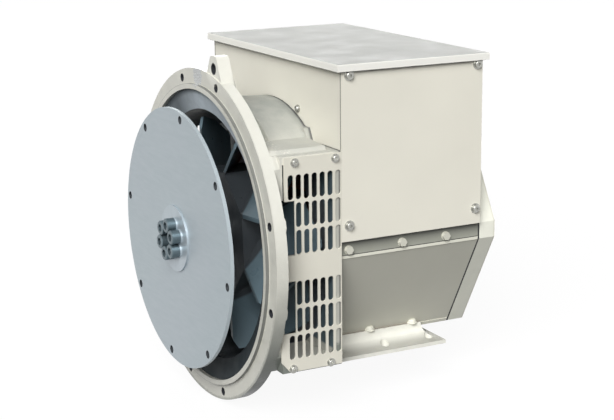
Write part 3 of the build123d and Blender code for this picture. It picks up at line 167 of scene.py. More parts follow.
class Shader:
    """A node material with one Principled shader, and short ways of wiring textures into it."""

    def __init__(self, name):
        self.material = bpy.data.materials.new(name)
        self.material.use_nodes = True
        self.tree = self.material.node_tree
        self.principled = self.tree.nodes["Principled BSDF"]
        self.place = self.tree.nodes.new("ShaderNodeTexCoord").outputs["Object"]

    def node(self, kind, **settings):
        """A new node with its settings."""
        made = self.tree.nodes.new(kind)
        for key, value in settings.items():
            setattr(made, key, value)
        return made

    def link(self, out, socket):
        self.tree.links.new(out, socket)

    def noise(self, scale, detail=3.0, roughness=0.55, stretch=(1, 1, 1)):
        """Noise with features about 1/scale metres across, stretched along the axes where asked."""
        mapping = self.node("ShaderNodeMapping")
        mapping.inputs["Scale"].default_value = stretch
        self.link(self.place, mapping.inputs["Vector"])
        noise = self.node("ShaderNodeTexNoise")
        noise.inputs["Scale"].default_value = scale
        noise.inputs["Detail"].default_value = detail
        noise.inputs["Roughness"].default_value = roughness
        self.link(mapping.outputs["Vector"], noise.inputs["Vector"])
        return noise.outputs["Fac"]

    def ramp(self, value, low, high, to_low=0.0, to_high=1.0):
        """value taken from low..high to to_low..to_high, held at the ends."""
        made = self.node("ShaderNodeMapRange")
        for key, number in (("From Min", low), ("From Max", high), ("To Min", to_low), ("To Max", to_high)):
            made.inputs[key].default_value = number
        self.link(value, made.inputs["Value"])
        return made.outputs["Result"]

    def uneven(self, low, high, scale=35, detail=3.0):
        """A value that wanders between low and high in soft patches."""
        return self.ramp(self.noise(scale, detail), *NOISE_SPAN, low, high)

    def mix(self, factor, first, second):
        """Two colours mixed by a value; each is a colour or another node's output."""
        made = self.node("ShaderNodeMix", data_type="RGBA")
        self.link(factor, made.inputs["Factor"])
        for socket, colour in ((made.inputs[6], first), (made.inputs[7], second)):
            if isinstance(colour, tuple):
                socket.default_value = colour
            else:
                self.link(colour, socket)
        return made.outputs[2]

    def bump(self, height, distance, strength, under=None):
        """Normals for a height whose full range is distance, in metres, over another bump if one is given."""
        made = self.node("ShaderNodeBump")
        made.inputs["Distance"].default_value = distance
        made.inputs["Strength"].default_value = strength
        self.link(height, made.inputs["Height"])
        if under is not None:
            self.link(under, made.inputs["Normal"])
        return made.outputs["Normal"]

    def peel(self, depth=0.00006, strength=0.5):
        """The fine orange peel of sprayed paint."""
        return self.bump(self.noise(650, 2), depth, strength)

    def fade(self, place, start, end, top=1.0, bottom=0.0):
        """bottom to top while a place in metres goes from start to end, which are in millimetres."""
        return self.ramp(place, start * MM, end * MM, bottom, top)

    def edges(self):
        """1 on outside edges, where the finishes paint a highlight, 0 elsewhere."""
        point = self.node("ShaderNodeNewGeometry").outputs["Pointiness"]
        return self.ramp(point, *EDGE_HIGHLIGHT_SPAN)

    def upward(self, low, high):
        """1 on faces that look up, 0 on upright ones."""
        split = self.node("ShaderNodeSeparateXYZ")
        self.link(self.node("ShaderNodeNewGeometry").outputs["Normal"], split.inputs[0])
        return self.ramp(split.outputs[2], low, high)

    def parts(self):
        """The object coordinates as three values."""
        split = self.node("ShaderNodeSeparateXYZ")
        self.link(self.place, split.inputs[0])
        return split.outputs

    def math(self, operation, first, second=0.0):
        """One maths node; each side is a value or another node's output."""
        made = self.node("ShaderNodeMath", operation=operation)
        for socket, value in zip(made.inputs, (first, second)):
            if isinstance(value, (int, float)):
                socket.default_value = value
            else:
                self.link(value, socket)
        return made.outputs[0]

    def distance(self, across, up, centre=(0, 0), ragged=0.0):
        """Metres from a centre of the across-up plane; centre and raggedness are in millimetres."""
        sides = self.math("POWER", self.math("SUBTRACT", across, centre[0] * MM), 2.0)
        rises = self.math("POWER", self.math("SUBTRACT", up, centre[1] * MM), 2.0)
        found = self.math("SQRT", self.math("ADD", sides, rises))
        if ragged:
            centred = self.math("SUBTRACT", self.noise(RAGGED_SCALE, 4), 0.5)
            found = self.math("ADD", found, self.math("MULTIPLY", centred, 2 * ragged * MM))
        return found

    def near(self, across, up, centre, radius, fade, ragged=0.0):
        """1 within radius of a centre, 0 beyond radius + fade, all in millimetres."""
        distance = self.distance(across, up, centre, ragged)
        return self.ramp(distance, radius * MM, (radius + fade) * MM, 1.0, 0.0)

    def all_of(self, *masks):
        """Where all the masks are 1."""
        found = masks[0]
        for mask in masks[1:]:
            found = self.math("MULTIPLY", found, mask)
        return found

    def finished(self, colour, roughness, normal, shine=None, metal=0.0):
        """Wire up the finished colour, roughness and bump, and return the material."""
        inputs = self.principled.inputs
        self.link(colour, inputs["Base Color"])
        self.link(roughness, inputs["Roughness"])
        self.link(normal, inputs["Normal"])
        inputs["Metallic"].default_value = metal
        if shine is not None:
            inputs["Specular IOR Level"].default_value = shine
        return self.material


def shade(colour, factor):
    """The colour made lighter or darker."""
    return tuple(channel * factor for channel in colour[:3]) + (1.0,)


def sheet_paint(name, colour, rough=0.42, shine=0.4):
    """Powder coat on bent sheet: orange peel, slight cloudiness, dulled patches."""
    s = Shader(name)
    base = s.mix(s.uneven(0, 1, 7, 4), shade(colour, 0.965), shade(colour, 1.02))
    specks = s.ramp(s.noise(900, 2), 0.70, 0.78)
    base = s.mix(specks, base, shade(colour, 0.86))
    roughness = s.uneven(rough - 0.06, rough + 0.08)
    normal = s.bump(s.noise(9, 2), 0.0012, 0.22, s.peel(strength=0.55))
    return s.finished(base, roughness, normal, shine=shine)


def shaded_top_lid(name, top, sides):
    """The lid's paint: the top painted darker as painted shade, and the folded lip lighter."""
    s = Shader(name)
    shaded_top = s.mix(s.ramp(s.noise(9, 4, 0.5), 0.3, 0.7), shade(top, 0.975), shade(top, 1.01))
    # Upward faces take the darker top colour: painted shade.
    base = s.mix(s.upward(0.6, 0.98), sides, shaded_top)
    return s.finished(base, s.uneven(0.5, 0.68, 30, 4), s.peel(0.00005), shine=0.12)


def strip_paint(name, low_colour, shadow_colour):
    """Sheet under the box's overhang: a painted shadow of the overhang, dark at the top, fading to clean paint at
    its lower edge.
    """
    s = Shader(name)
    z = s.parts()[2]
    # Painted shadow of the box's overhang, darkest at the top of the strip.
    height = s.math("POWER", s.ramp(z, STRIP_FOOT, STRIP_TOP, 1.0, 0.0), 0.75)
    base = s.mix(height, shadow_colour, low_colour)
    base = s.mix(s.ramp(s.noise(40, 4), 0.4, 0.7, 0.0, 0.25), base, shade(low_colour, 0.6))
    return s.finished(base, s.uneven(0.42, 0.6), s.peel(), shine=0.3)


def baffle_paint(name, crown, foot):
    """The baffle's paint: pale at the crown; the disc's shadow, the +Y side and the seat are painted shade."""
    s = Shader(name)
    y, z = s.parts()[1:]
    # Painted shadow of the disc over the lower baffle, with a ragged edge.
    shadow_edge = s.math("ADD", z, s.uneven(-BAFFLE_RAGGED * MM, BAFFLE_RAGGED * MM, 14, 4))
    base = s.mix(s.fade(shadow_edge, *BAFFLE_LIT_UP), foot, crown)
    # Painted shade toward the +Y side and along the outer seat.
    base = s.mix(s.fade(y, *BAFFLE_SHADED_SIDE, top=0.8), base, foot)
    base = s.mix(s.fade(s.distance(y, z), *BAFFLE_SEAT, top=0.6), base, foot)
    base = s.mix(s.ramp(s.noise(90, 4), 0.4, 0.7, 0.0, 0.12), base, foot)
    return s.finished(base, s.uneven(0.5, 0.66), s.peel(), shine=0.15)


def cast_paint(name, colour, rough=0.42, coarse=1.0, marks=None, edge_highlight=1.12, shine=0.35):
    """Machinery paint over sand-cast iron: gritty skin, soft lumps, darker grit lows, a painted edge highlight."""
    s = Shader(name)
    lumps = s.noise(46, 5, 0.6)
    grit = s.noise(520, 4, 0.65)
    cloud = s.ramp(lumps, 0.34, 0.66)
    base = s.mix(cloud, shade(colour, 0.94), shade(colour, 1.03))
    low = s.ramp(grit, 0.30, 0.42, 1.0, 0.0)
    base = s.mix(s.ramp(low, 0.0, 1.0, 0.0, 0.3), base, shade(colour, 0.74))
    # A painted highlight: outside edges lighter.
    base = s.mix(s.ramp(s.edges(), 0.0, 1.0, 0.0, 0.5), base, shade(colour, edge_highlight))
    roughness = s.ramp(lumps, 0.3, 0.7, rough - 0.08, rough + 0.1)
    if marks is not None:
        base = marks(s, base)
    skin = s.bump(grit, 0.0004 * coarse, 0.5)
    normal = s.bump(lumps, 0.0024 * coarse, 0.5, skin)
    return s.finished(base, roughness, normal, shine=shine)


def bracket_marks(s, base):
    """The drive-end casting's marks: painted shade, glints and highlight, a paler lug and a bare iron patch."""
    x, y, z = s.parts()
    across, up = s.math("ABSOLUTE", y), s.math("ABSOLUTE", z)
    out = s.distance(y, z)
    # Painted shade on the drum's upward faces toward the crown, mottled.
    top_shade = s.all_of(s.upward(0.1, 0.7), s.ramp(s.noise(24, 4), 0.3, 0.58, 0.6, 1.0))
    drum = s.fade(x, *DRUM_FRONT)
    base = s.mix(s.all_of(drum, s.fade(z, *DRUM_TOP), top_shade), base, DRUM_SHADE)
    # Painted glints on the drum near the flange.
    glint_spots = s.ramp(s.noise(330, 3), 0.58, 0.64)
    glint = s.all_of(drum, s.fade(x, *GLINT_LENGTH), glint_spots, s.fade(z, *GLINT_HEIGHT))
    base = s.mix(s.math("MULTIPLY", glint, 0.7), base, CREAM_FOOT)
    # Painted shade on the drum toward the front panel, and a dark painted line in the crease where they meet.
    base = s.mix(s.fade(x, *PANEL_SHADOW, top=0.5), base, WALL_SHADE)
    base = s.mix(s.fade(x, *PANEL_CONTACT, top=0.7), base, IRON_AND_SHADE)
    # Painted shade on the spigot's outer side.
    wall = s.all_of(s.fade(out, *SPIGOT_WALL), s.fade(x, *SPIGOT_PROUD))
    base = s.mix(s.math("MULTIPLY", wall, 0.8), base, WALL_SHADE)
    rim = s.fade(s.distance(y, z, ragged=RIM_RAGGED), *FLANGE_RIM)
    # A painted highlight on the rim's upper side.
    lightened = s.all_of(rim, s.fade(z, *RIM_HIGHLIGHT, top=0.7), s.fade(x, *RIM_HIGHLIGHT_BEHIND))
    base = s.mix(s.all_of(lightened, s.fade(x, *FLANGE_BACK)), base, CREAM_FOOT)
    # Painted shade on the rim's lower part, darkest at the bottom.
    shaded = s.all_of(rim, s.fade(z, *RIM_SHADED), s.fade(x, *RIM_SHADED_BEHIND, bottom=0.45))
    base = s.mix(s.math("MULTIPLY", shaded, 0.85), base, RIM_SHADE)
    deep_shaded = s.all_of(rim, s.fade(z, *RIM_DEEP_SHADED, top=0.8), s.fade(x, *RIM_DEEP_SHADED_BEHIND))
    base = s.mix(deep_shaded, base, RIM_DEEP_SHADE)
    # Painted shade inside the side boxes behind the grilles, on all but their upward faces.
    boxed = s.all_of(s.fade(across, *WINDOWS_DEPTH), s.fade(up, *WINDOWS_HEIGHT))
    boxed = s.all_of(boxed, s.fade(x, *WINDOWS_FRONT), s.upward(0.9, 0.5), s.fade(x, *WINDOWS_REAR))
    base = s.mix(boxed, base, shade(TEAL, 1.25))
    inside = s.all_of(s.near(y, z, (0, 0), INSIDE_RADIUS, fade=2), s.fade(x, *INSIDE_DEPTH))
    base = s.mix(inside, base, s.mix(s.ramp(s.noise(60, 4), 0.35, 0.65), CAVITY, shade(CAVITY, 1.8)))
    # Painted shade in the bores of the flange holes.
    for first, second in ((across, up), (up, across)):
        hole = s.near(first, second, FLANGE_HOLE_NEAR, FLANGE_HOLE_RADIUS, fade=0.5, ragged=0.3)
        base = s.mix(hole, base, IRON_AND_SHADE)
    # Lighter round the lug; painted shade in the lug's hole.
    base = s.mix(s.near(y, z, LUG_HOLE, LUG_PALE_RADIUS, fade=9), base, CREAM_FOOT)
    base = s.mix(s.near(y, z, LUG_HOLE, LUG_HOLE_RADIUS, fade=1.2, ragged=0.6), base, IRON_AND_SHADE)
    patch = s.all_of(s.near(y, z, CROWN_PATCH, CROWN_PATCH_RADIUS, fade=2, ragged=10), s.fade(x, *FLANGE_FACE))
    speckle = s.mix(s.ramp(s.noise(640, 5, 0.7), 0.36, 0.64), shade(BARE_IRON, 0.5), shade(BARE_IRON, 1.4))
    return s.mix(patch, base, speckle)


def fan_marks(s, base):
    """The hub darker, and the blades lighter toward their tips."""
    y, z = s.parts()[1:]
    hub = s.near(y, z, (0, 0), FAN_HUB_RADIUS, fade=3)
    lightened = s.fade(s.distance(y, z), *FAN_TIPS, top=0.25)
    return s.mix(hub, s.mix(lightened, base, shade(TEAL, 1.8)), shade(CAVITY, 0.8))


def foot_marks(s, base):
    """Painted shadow of the body on the plate, painted shade with rust in the bolt holes, rust along the frame
    joint.
    """
    x, y, z = s.parts()
    across = s.math("ABSOLUTE", y)
    # Painted shadow of the body on the plate's upward faces.
    base = s.mix(s.upward(0.5, 0.95), base, shade(CREAM_FOOT, 0.6))
    # Dark rust in the bolt holes: rust, and painted shade in the bores.
    for hole_x in FOOT_HOLES_X:
        hole = s.near(x, across, (hole_x, FOOT_HOLE_Y), FOOT_HOLE_RADIUS, fade=0.7, ragged=0.6)
        base = s.mix(hole, base, shade(RUST, 0.3))
    joint = s.near(across, z, FOOT_JOINT, FOOT_JOINT_RADIUS, fade=3, ragged=2)
    return s.mix(s.math("MULTIPLY", joint, 0.55), base, RUST)


def disc_marks(s, base):
    """Painted shade in the bores of the disc's bolt holes, and a painted highlight on its edge."""
    y, z = s.parts()[1:]
    # A painted highlight on the disc's edge.
    edge = s.fade(s.distance(y, z), *DISC_EDGE_HIGHLIGHT, top=0.85)
    base = s.mix(edge, base, shade(DISC_GREY, 1.7))
    # Painted shade in the bores of the bolt holes.
    for turn in range(DISC_HOLES):
        angle = DISC_HOLE_PHASE + tau * turn / DISC_HOLES
        centre = (-DISC_HOLE_CIRCLE * cos(angle), DISC_HOLE_CIRCLE * sin(angle))
        base = s.mix(s.near(y, z, centre, DISC_HOLE_RADIUS, fade=0.5), base, IRON_AND_SHADE)
    return base


def rolled_steel(name, colour, tint, rough=0.38, metal=0.55, grain=(1, 1, 1), marks=None):
    """Oiled or plated steel sheet: directional rolling grain, faint stains, and a painted highlight on the edges.
    """
    s = Shader(name)
    streak = s.noise(220, 4, 0.6, grain)
    stain = s.ramp(s.noise(12, 5, 0.6), 0.35, 0.7)
    broad = s.mix(s.ramp(s.noise(6, 2), 0.38, 0.62), colour, tint)
    base = s.mix(s.ramp(streak, 0.3, 0.7, 0.0, 0.22), broad, shade(colour, 0.72))
    base = s.mix(s.ramp(stain, 0.0, 1.0, 0.0, 0.25), base, shade(colour, 0.84))
    # A painted highlight: outside edges lighter.
    base = s.mix(s.ramp(s.edges(), 0.0, 1.0, 0.0, 0.8), base, shade(colour, 1.7))
    if marks is not None:
        base = marks(s, base)
    roughness = s.ramp(streak, 0.25, 0.75, rough - 0.07, rough + 0.1)
    normal = s.bump(streak, 0.00004, 0.5)
    return s.finished(base, roughness, normal, metal=metal)


def turned_metal(name, colour, rough=0.3, metal=0.9):
    """Turned or plated fasteners and shafts: fine tool marks, handling marks and a painted highlight on the edges.
    """
    s = Shader(name)
    marks = s.noise(900, 3, 0.6, (1.0, 0.25, 0.25))
    tarnish = s.ramp(s.noise(140, 4), 0.35, 0.7)
    base = s.mix(tarnish, shade(colour, 0.84), shade(colour, 1.08))
    # A painted highlight: outside edges lighter.
    base = s.mix(s.ramp(s.edges(), 0.0, 1.0, 0.0, 0.6), base, shade(colour, 1.25))
    roughness = s.ramp(marks, 0.3, 0.7, rough - 0.08, rough + 0.12)
    normal = s.bump(marks, 0.00003, 0.6)
    return s.finished(base, roughness, normal, metal=metal)


def laminations(name, colour):
    """Stacked, varnished core plates: fine lines square to the shaft."""
    s = Shader(name)
    wave = s.node("ShaderNodeTexWave", wave_type="BANDS", bands_direction="X")
    wave.inputs["Scale"].default_value = 160
    wave.inputs["Distortion"].default_value = 0.4
    s.link(s.place, wave.inputs["Vector"])
    lines = wave.outputs["Fac"]
    base = s.mix(s.ramp(lines, 0.2, 0.8), shade(colour, 0.6), shade(colour, 1.25))
    base = s.mix(s.ramp(s.noise(60, 4), 0.4, 0.75, 0.0, 0.4), base, shade(COPPER, 0.35))
    roughness = s.uneven(0.35, 0.6, 200)
    normal = s.bump(lines, 0.0003, 0.6)
    return s.finished(base, roughness, normal, metal=0.3)


def varnished_copper(name, colour):
    """Wound wire under dipping varnish: bundled strands and glossy runs."""
    s = Shader(name)
    strands = s.noise(420, 3, 0.6, (1.0, 0.2, 1.0))
    base = s.mix(s.ramp(strands, 0.3, 0.7), shade(colour, 0.55), shade(colour, 1.35))
    base = s.mix(s.ramp(s.noise(25, 4), 0.45, 0.7, 0.0, 0.6), base, shade(colour, 0.45))
    roughness = s.uneven(0.18, 0.45, 90)
    normal = s.bump(strands, 0.0009, 0.8)
    return s.finished(base, roughness, normal, metal=0.35)


def moulding(name, colour, rough=0.45):
    """Moulded or potted plastic: spark-eroded grain and a slight sheen change."""
    s = Shader(name)
    grain = s.noise(1100, 2)
    base = s.mix(s.uneven(0, 1, 30, 4), shade(colour, 0.85), shade(colour, 1.2))
    roughness = s.ramp(grain, 0.3, 0.7, rough - 0.08, rough + 0.1)
    normal = s.bump(grain, 0.00008, 0.6)
    return s.finished(base, roughness, normal)


def white_rays(tree):
    """1 for the rays that find plain white: the camera's own and those of gloss and glass."""
    rays = tree.nodes.new("ShaderNodeLightPath").outputs
    found = rays["Is Camera Ray"]
    for kind in ("Is Glossy Ray", "Is Transmission Ray"):
        either = tree.nodes.new("ShaderNodeMath")
        either.operation = "MAXIMUM"
        tree.links.new(found, either.inputs[0])
        tree.links.new(rays[kind], either.inputs[1])
        found = either.outputs[0]
    return found


def stage_surface(name, colour, glow):
    """A floor that lights the object as its colour says, and looks white to the camera and in gloss."""
    s = Shader(name)
    s.principled.inputs["Base Color"].default_value = colour
    s.principled.inputs["Roughness"].default_value = 0.9
    s.principled.inputs["Specular IOR Level"].default_value = 0.0
    emission = s.node("ShaderNodeEmission")
    s.link(s.math("MULTIPLY", white_rays(s.tree), glow), emission.inputs["Strength"])
    surface = s.node("ShaderNodeAddShader")
    s.link(s.principled.outputs[0], surface.inputs[0])
    s.link(emission.outputs[0], surface.inputs[1])
    s.link(surface.outputs[0], s.tree.nodes["Material Output"].inputs["Surface"])
    return s.material


finishes = {
    "cream_sheet": sheet_paint("cream_sheet", CREAM),
    "cream_lid": shaded_top_lid("cream_lid", LID_TOP_SHADE, LID_CREAM),
    "cream_grille": sheet_paint("cream_grille", CREAM_GRILLE),
    "cream_cover": sheet_paint("cream_cover", CREAM_COVER, 0.46),
    "cream_slant_shaded": sheet_paint("cream_slant_shaded", SHADED_SLANT_CREAM, 0.46),
    "cream_strip": strip_paint("cream_strip", STRIP_LOW, STRIP_SHADOW),
    "cream_end": cast_paint("cream_end", CREAM_END, coarse=0.4, edge_highlight=1.3),
    "cream_bracket": cast_paint("cream_bracket", CREAM_CAST, 0.36, marks=bracket_marks, shine=0.5),
    "cream_foot": cast_paint("cream_foot", CREAM_FOOT, marks=foot_marks),
    "cream_cast": cast_paint("cream_cast", CREAM_COVER, coarse=0.4),
    "baffle_blue": baffle_paint("baffle_blue", BAFFLE_CROWN, BAFFLE_SHADOW),
    "disc_steel": rolled_steel("disc_steel", DISC_GREY, DISC_VIOLET, 0.42, 0.4, (1, 0.15, 1), disc_marks),
    "plate_steel": rolled_steel("plate_steel", PLATE_GREY, DISC_VIOLET, 0.36, 0.5, (1, 1, 0.2)),
    "machined_steel": turned_metal("machined_steel", STEEL),
    "oxide_screws": turned_metal("oxide_screws", OXIDE, 0.34, 0.7),
    "zinc_screws": turned_metal("zinc_screws", ZINC, 0.28, 0.85),
    "bearing_steel": turned_metal("bearing_steel", STEEL, 0.18, 0.95),
    "brass": turned_metal("brass", BRASS, 0.3, 0.9),
    "fan_teal": cast_paint("fan_teal", TEAL, 0.34, 0.4, fan_marks, 2.2),
    "core_plates": laminations("core_plates", IRON_AND_SHADE),
    "copper_winding": varnished_copper("copper_winding", COPPER),
    "black_moulding": moulding("black_moulding", BLACK),
    "black_rubber": moulding("black_rubber", RUBBER, 0.7),
    "blue_potting": moulding("blue_potting", POTTING, 0.3),
}
FINISH_OF_NODE = {
    "cream_sheet": ("box_side_right", "box_side_left", "box_front", "box_rear", "box_frame"),
    "cream_lid": ("box_lid",),
    "cream_grille": ("grille_right", "grille_left"),
    "cream_cover": ("nde_cover",),
    # The slanted covers and their bolts take the darker copy of the cream: painted shade.
    "cream_slant_shaded": ("side_cover_right", "side_cover_left", "side_bolts"),
    "cream_strip": ("frame_rails",),
    "cream_end": ("nde_bracket",),
    "cream_bracket": ("drive_end_bracket",),
    "cream_foot": ("foot_right", "foot_left"),
    "cream_cast": ("frame_rings", "frame_bars"),
    "black_rubber": ("nde_gasket",),
    "baffle_blue": ("air_baffle",),
    "disc_steel": ("coupling_discs",),
    "plate_steel": ("clamp_plate", "coupling_washers"),
    "machined_steel": ("shaft", "disc_spacer", "rectifier_plate"),
    "oxide_screws": ("coupling_screws", "bearing_circlip"),
    "zinc_screws": ("grille_screws", "panel_screws", "nde_cover_screws", "rectifier_diodes"),
    "bearing_steel": ("bearing_outer_ring", "bearing_inner_ring", "bearing_balls"),
    "brass": ("bearing_cage", "terminal_studs"),
    "fan_teal": ("fan",),
    "core_plates": ("stator_core", "rotor_core", "exciter_field", "exciter_armature"),
    "copper_winding": ("stator_winding", "field_coils"),
    "black_moulding": ("terminal_board",),
    "blue_potting": ("voltage_regulator",),
}
# Widths of the softened edges, in millimetres
EDGE_ROUND = {
    "drive_end_bracket": 1.6,
    "foot_right": 1.2,
    "foot_left": 1.2,
    "nde_bracket": 2.5,
    "fan": 1.4,
    "box_lid": 0.5,
    "coupling_discs": 0.3,
}
USUAL_EDGE = 0.25
CREASE = radians(32)


def soften(piece, width):
    """Small rounded edges that catch light, and smooth shading between them."""
    bevel = piece.modifiers.new("edges", "BEVEL")
    bevel.width = width * MM
    bevel.segments = 2
    bevel.limit_method = "ANGLE"
    bevel.angle_limit = CREASE
    bevel.harden_normals = False
    for face in piece.data.polygons:
        face.use_smooth = True
    piece.modifiers.new("normals", "WEIGHTED_NORMAL").keep_sharp = True


def clothe(piece, finish):
    """Give a piece one of the finishes."""
    piece.data.materials.clear()
    piece.data.materials.append(finishes[finish])


for finish, names in FINISH_OF_NODE.items():
    for name in names:
        clothe(nodes[name], finish)
        soften(nodes[name], EDGE_ROUND.get(name, USUAL_EDGE))


# ---------------------------------------------------------------- small raised detail
BEAD_SIDES = 8


class Form:
    """Points and faces of a new piece, in millimetres, gathered before it becomes an object."""

    def __init__(self):
        self.points = []
        self.faces = []

    def ring(self, centre, radius, axes, steps):
        """Add a ring of points and return the number of its first."""
        across, up = axes
        start = len(self.points)
        for i in range(steps):
            turn = tau * i / steps
            self.points.append(centre + across * (radius * cos(turn)) + up * (radius * sin(turn)))
        return start

    def sweep(self, rings, steps):
        """Close the walls between rings of points, and both ends."""
        for first, second in zip(rings, rings[1:]):
            for i in range(steps):
                after = (i + 1) % steps
                self.faces.append((first + i, first + after, second + after, second + i))
        self.faces.append(tuple(rings[0] + i for i in reversed(range(steps))))
        self.faces.append(tuple(rings[-1] + i for i in range(steps)))

    def turned(self, seat, axis, profile, steps=20):
        """A turned form on a seat: profile is (radius, height) pairs up the axis."""
        axis = Vector(axis).normalized()
        across = axis.orthogonal().normalized()
        axes = (across, axis.cross(across))
        rings = [self.ring(Vector(seat) + axis * height, radius, axes, steps) for radius, height in profile]
        self.sweep(rings, steps)

    def bead(self, start, end, radius):
        """A thin round bead laid from start to end, with tapered ends."""
        start, end = Vector(start), Vector(end)
        length = (end - start).length
        profile = [(radius * 0.4, 0), (radius, radius), (radius, length - radius), (radius * 0.4, length)]
        self.turned(start, end - start, profile, BEAD_SIDES)

    def plate(self, corners, thickness):
        """A flat plate: corners in order round its face, thickness along their normal."""
        corners = [Vector(corner) for corner in corners]
        normal = (corners[1] - corners[0]).cross(corners[2] - corners[1]).normalized()
        count = len(corners)
        first = len(self.points)
        self.points += corners + [corner + normal * thickness for corner in corners]
        self.sweep([first, first + count], count)

    def piece(self, name, body, slot, finish, edge=0.2):
        """Make the object, dress it and set it on its body."""
        mesh = bpy.data.meshes.new(name)
        mesh.from_pydata([point * MM for point in self.points], [], self.faces)
        made = bpy.data.objects.new(name, mesh)
        scene.collection.objects.link(made)
        clothe(made, finish)
        soften(made, edge)
        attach(made, body)


# A pair after _X, _UP or _RISE is the two ends of a run, and a seam is its x, y and z, one of which is such a run.
SHEET = 0.9
BOLT_SEATS_X = (194.5, 262)
BOLT_SEAT_OUT, BOLT_SEAT_UP = 114.5, -134
BOLT_DOME = [(7.2, -0.5), (7.2, 0.9), (6.1, 1.5), (6.0, 3.4), (5.1, 5.0), (3.2, 5.9), (1.0, 6.2)]
COVER_FLANGE_X = (110, 321.5)
COVER_FLANGE_UP = (-6.4, -2.4)
COVER_FLANGE_OUT = 184.7
COVER_SEAM = ((110.2, 321.6), 184.3, -1.9)
PANEL_SEAM = (109.5, 189.5, (138, 242.5))
SLANT_TOP, SLANT_FOOT = Vector((184, -6)), Vector((108, -142))
HEM_X = (111, 321.4)
HEM_RISE = (0.6, 6.4)
HEM_PROUD = 0.7
SCREW_SEAT = (109.55, -74, 174)
SCREW_HEAD = [(5.2, 0), (5.2, 0.9), (4.4, 1.1), (4.3, 3.0), (3.6, 4.0), (2.2, 4.3), (2.0, 2.6)]


def corners_between(ends, low, high):
    """The four corners of a strip that runs along x between two lines, given by their (y, z)."""
    start, end = ends
    return [(start, *low), (start, *high), (end, *high), (end, *low)]


def side_detail(side, where):
    """Foot bolts, the cover's upper flange and lower hem, and seam lines on one side of the frame."""
    bolts = Form()
    for x in BOLT_SEATS_X:
        bolts.turned((x, side * BOLT_SEAT_OUT, BOLT_SEAT_UP), (0, 0, 1), BOLT_DOME)
    bolts.piece(f"foot_bolts_{where}", "stator", "cast_cream", "cream_cover")

    flange = Form()
    low, high = ((side * COVER_FLANGE_OUT, up) for up in COVER_FLANGE_UP)
    flange.plate(corners_between(COVER_FLANGE_X, low, high), side * -SHEET)
    flange.piece(f"cover_flange_{where}", "stator", "sheet_cream", "cream_cover")

    # Black beads along the seams: the seams are real, and their dark colour stands in for the shade in the gaps.
    seam_shadows = Form()
    (start, end), out, up = COVER_SEAM
    seam_shadows.bead((start, side * out, up), (end, side * out, up), 0.45)
    x, out, (low, high) = PANEL_SEAM
    seam_shadows.bead((x, side * out, low), (x, side * out, high), 0.4)
    seam_shadows.piece(f"seams_{where}", "stator", "rubber_seal", "black_rubber", 0.05)

    hem = Form()
    rise = (SLANT_TOP - SLANT_FOOT).normalized()
    away = Vector((rise.y, -rise.x)) * HEM_PROUD
    low, high = (SLANT_FOOT + rise * along + away for along in HEM_RISE)
    edges = [(side * edge.x, edge.y) for edge in (low, high)]
    hem.plate(corners_between(HEM_X, *edges), side * -SHEET)
    hem.piece(f"cover_hem_{where}", "stator", "sheet_cream", "cream_cover")


def lid_seal_shadow_line():
    """The black rubber strip under the lid's lip, put where the lip's shadow falls so that it shows as a dark
    line.
    """
    seal = Form()
    front, rear, half, z, radius = 103.9, 324.6, 193.6, 238.2, 1.7
    seal.bead((front, -half, z), (front, half, z), radius)
    seal.bead((rear, -half, z), (rear, half, z), radius)
    for side in (-1, 1):
        seal.bead((front, side * half, z), (rear, side * half, z), radius)
    seal.piece("lid_seal_shadow_line", "stator", "rubber_seal", "black_rubber", 0.05)


def front_panel_screw():
    """The one screw on the front panel beside the drum."""
    screw = Form()
    screw.turned(SCREW_SEAT, (-1, 0, 0), SCREW_HEAD)
    screw.piece("front_panel_screw", "stator", "zinc", "zinc_screws", 0.1)


for side, where in ((-1, "right"), (1, "left")):
    side_detail(side, where)
lid_seal_shadow_line()
front_panel_screw()


# ---------------------------------------------------------------- stage, light and camera, in metres
FLOOR_WIDTH = 60
FLOOR_GAP = 0.0005
FLOOR_GREY = srgb(84, 84, 84)
FLOOR_GLOW = 0.92
SKY = srgb(250, 252, 255)
SKY_STRENGTH = 0.09


def add_stage():
    """The floor, just under the object so that the two never share a plane."""
    bpy.ops.mesh.primitive_plane_add(size=FLOOR_WIDTH, location=(0, 0, cad_box[0][2] - FLOOR_GAP))
    floor = bpy.context.object
    floor.name = "floor"
    floor.data.materials.append(stage_surface("floor_white", FLOOR_GREY, FLOOR_GLOW))


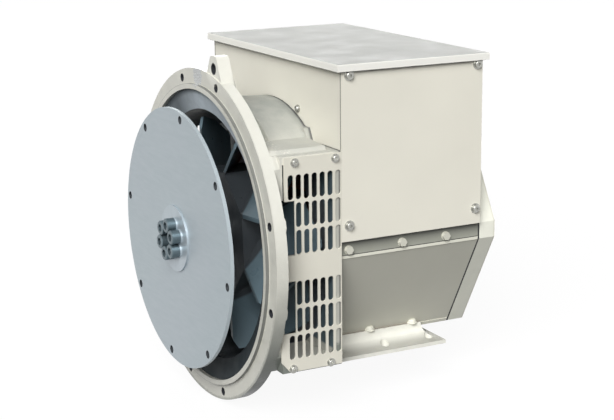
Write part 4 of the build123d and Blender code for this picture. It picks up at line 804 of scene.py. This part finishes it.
def add_world():
    """Even soft light from the sky, and plain white behind the object."""
    world = bpy.data.worlds.new("studio")
    scene.world = world
    world.use_nodes = True
    tree = world.node_tree
    sky = tree.nodes["Background"]
    sky.inputs["Color"].default_value = SKY
    sky.inputs["Strength"].default_value = SKY_STRENGTH
    white = tree.nodes.new("ShaderNodeBackground")
    white.inputs["Color"].default_value = (1, 1, 1, 1)
    white.inputs["Strength"].default_value = 1.0
    mix = tree.nodes.new("ShaderNodeMixShader")
    tree.links.new(white_rays(tree), mix.inputs["Fac"])
    tree.links.new(sky.outputs[0], mix.inputs[1])
    tree.links.new(white.outputs[0], mix.inputs[2])
    tree.links.new(mix.outputs[0], tree.nodes["World Output"].inputs["Surface"])


def add_sun(name, direction, strength, spread):
    """A soft lamp that shines along direction; spread is its disc's width in degrees."""
    data = bpy.data.lights.new(name, "SUN")
    data.energy = strength
    data.angle = radians(spread)
    lamp = bpy.data.objects.new(name, data)
    lamp.rotation_euler = Vector(direction).to_track_quat("-Z", "Y").to_euler()
    scene.collection.objects.link(lamp)


def add_camera():
    """The viewpoint: before the drive end's right-hand side and a little above the lid."""
    place = Vector((-0.79087, -1.83065, 0.5106))
    yaw, pitch, roll = radians(27.434), radians(-13.514), radians(-0.594)
    ahead = Vector((sin(yaw) * cos(pitch), cos(yaw) * cos(pitch), sin(pitch)))
    right = Vector((cos(yaw), -sin(yaw), 0))
    up = right.cross(ahead)
    tilted_right = cos(roll) * right + sin(roll) * up
    tilted_up = -sin(roll) * right + cos(roll) * up
    data = bpy.data.cameras.new("camera")
    data.lens = 88.95
    data.sensor_width = 36
    data.clip_end = 200
    camera = bpy.data.objects.new("camera", data)
    axes = Matrix((tilted_right, tilted_up, -ahead)).transposed()
    camera.matrix_world = Matrix.Translation(place) @ axes.to_4x4()
    scene.collection.objects.link(camera)
    scene.camera = camera


add_stage()
add_world()
add_sun("key", direction=(0.52, 0.63, -0.55), strength=4.2, spread=40)
add_sun("back", direction=(-0.65, -0.74, -0.12), strength=2.6, spread=60)
add_camera()
scene.view_settings.view_transform = "Standard"
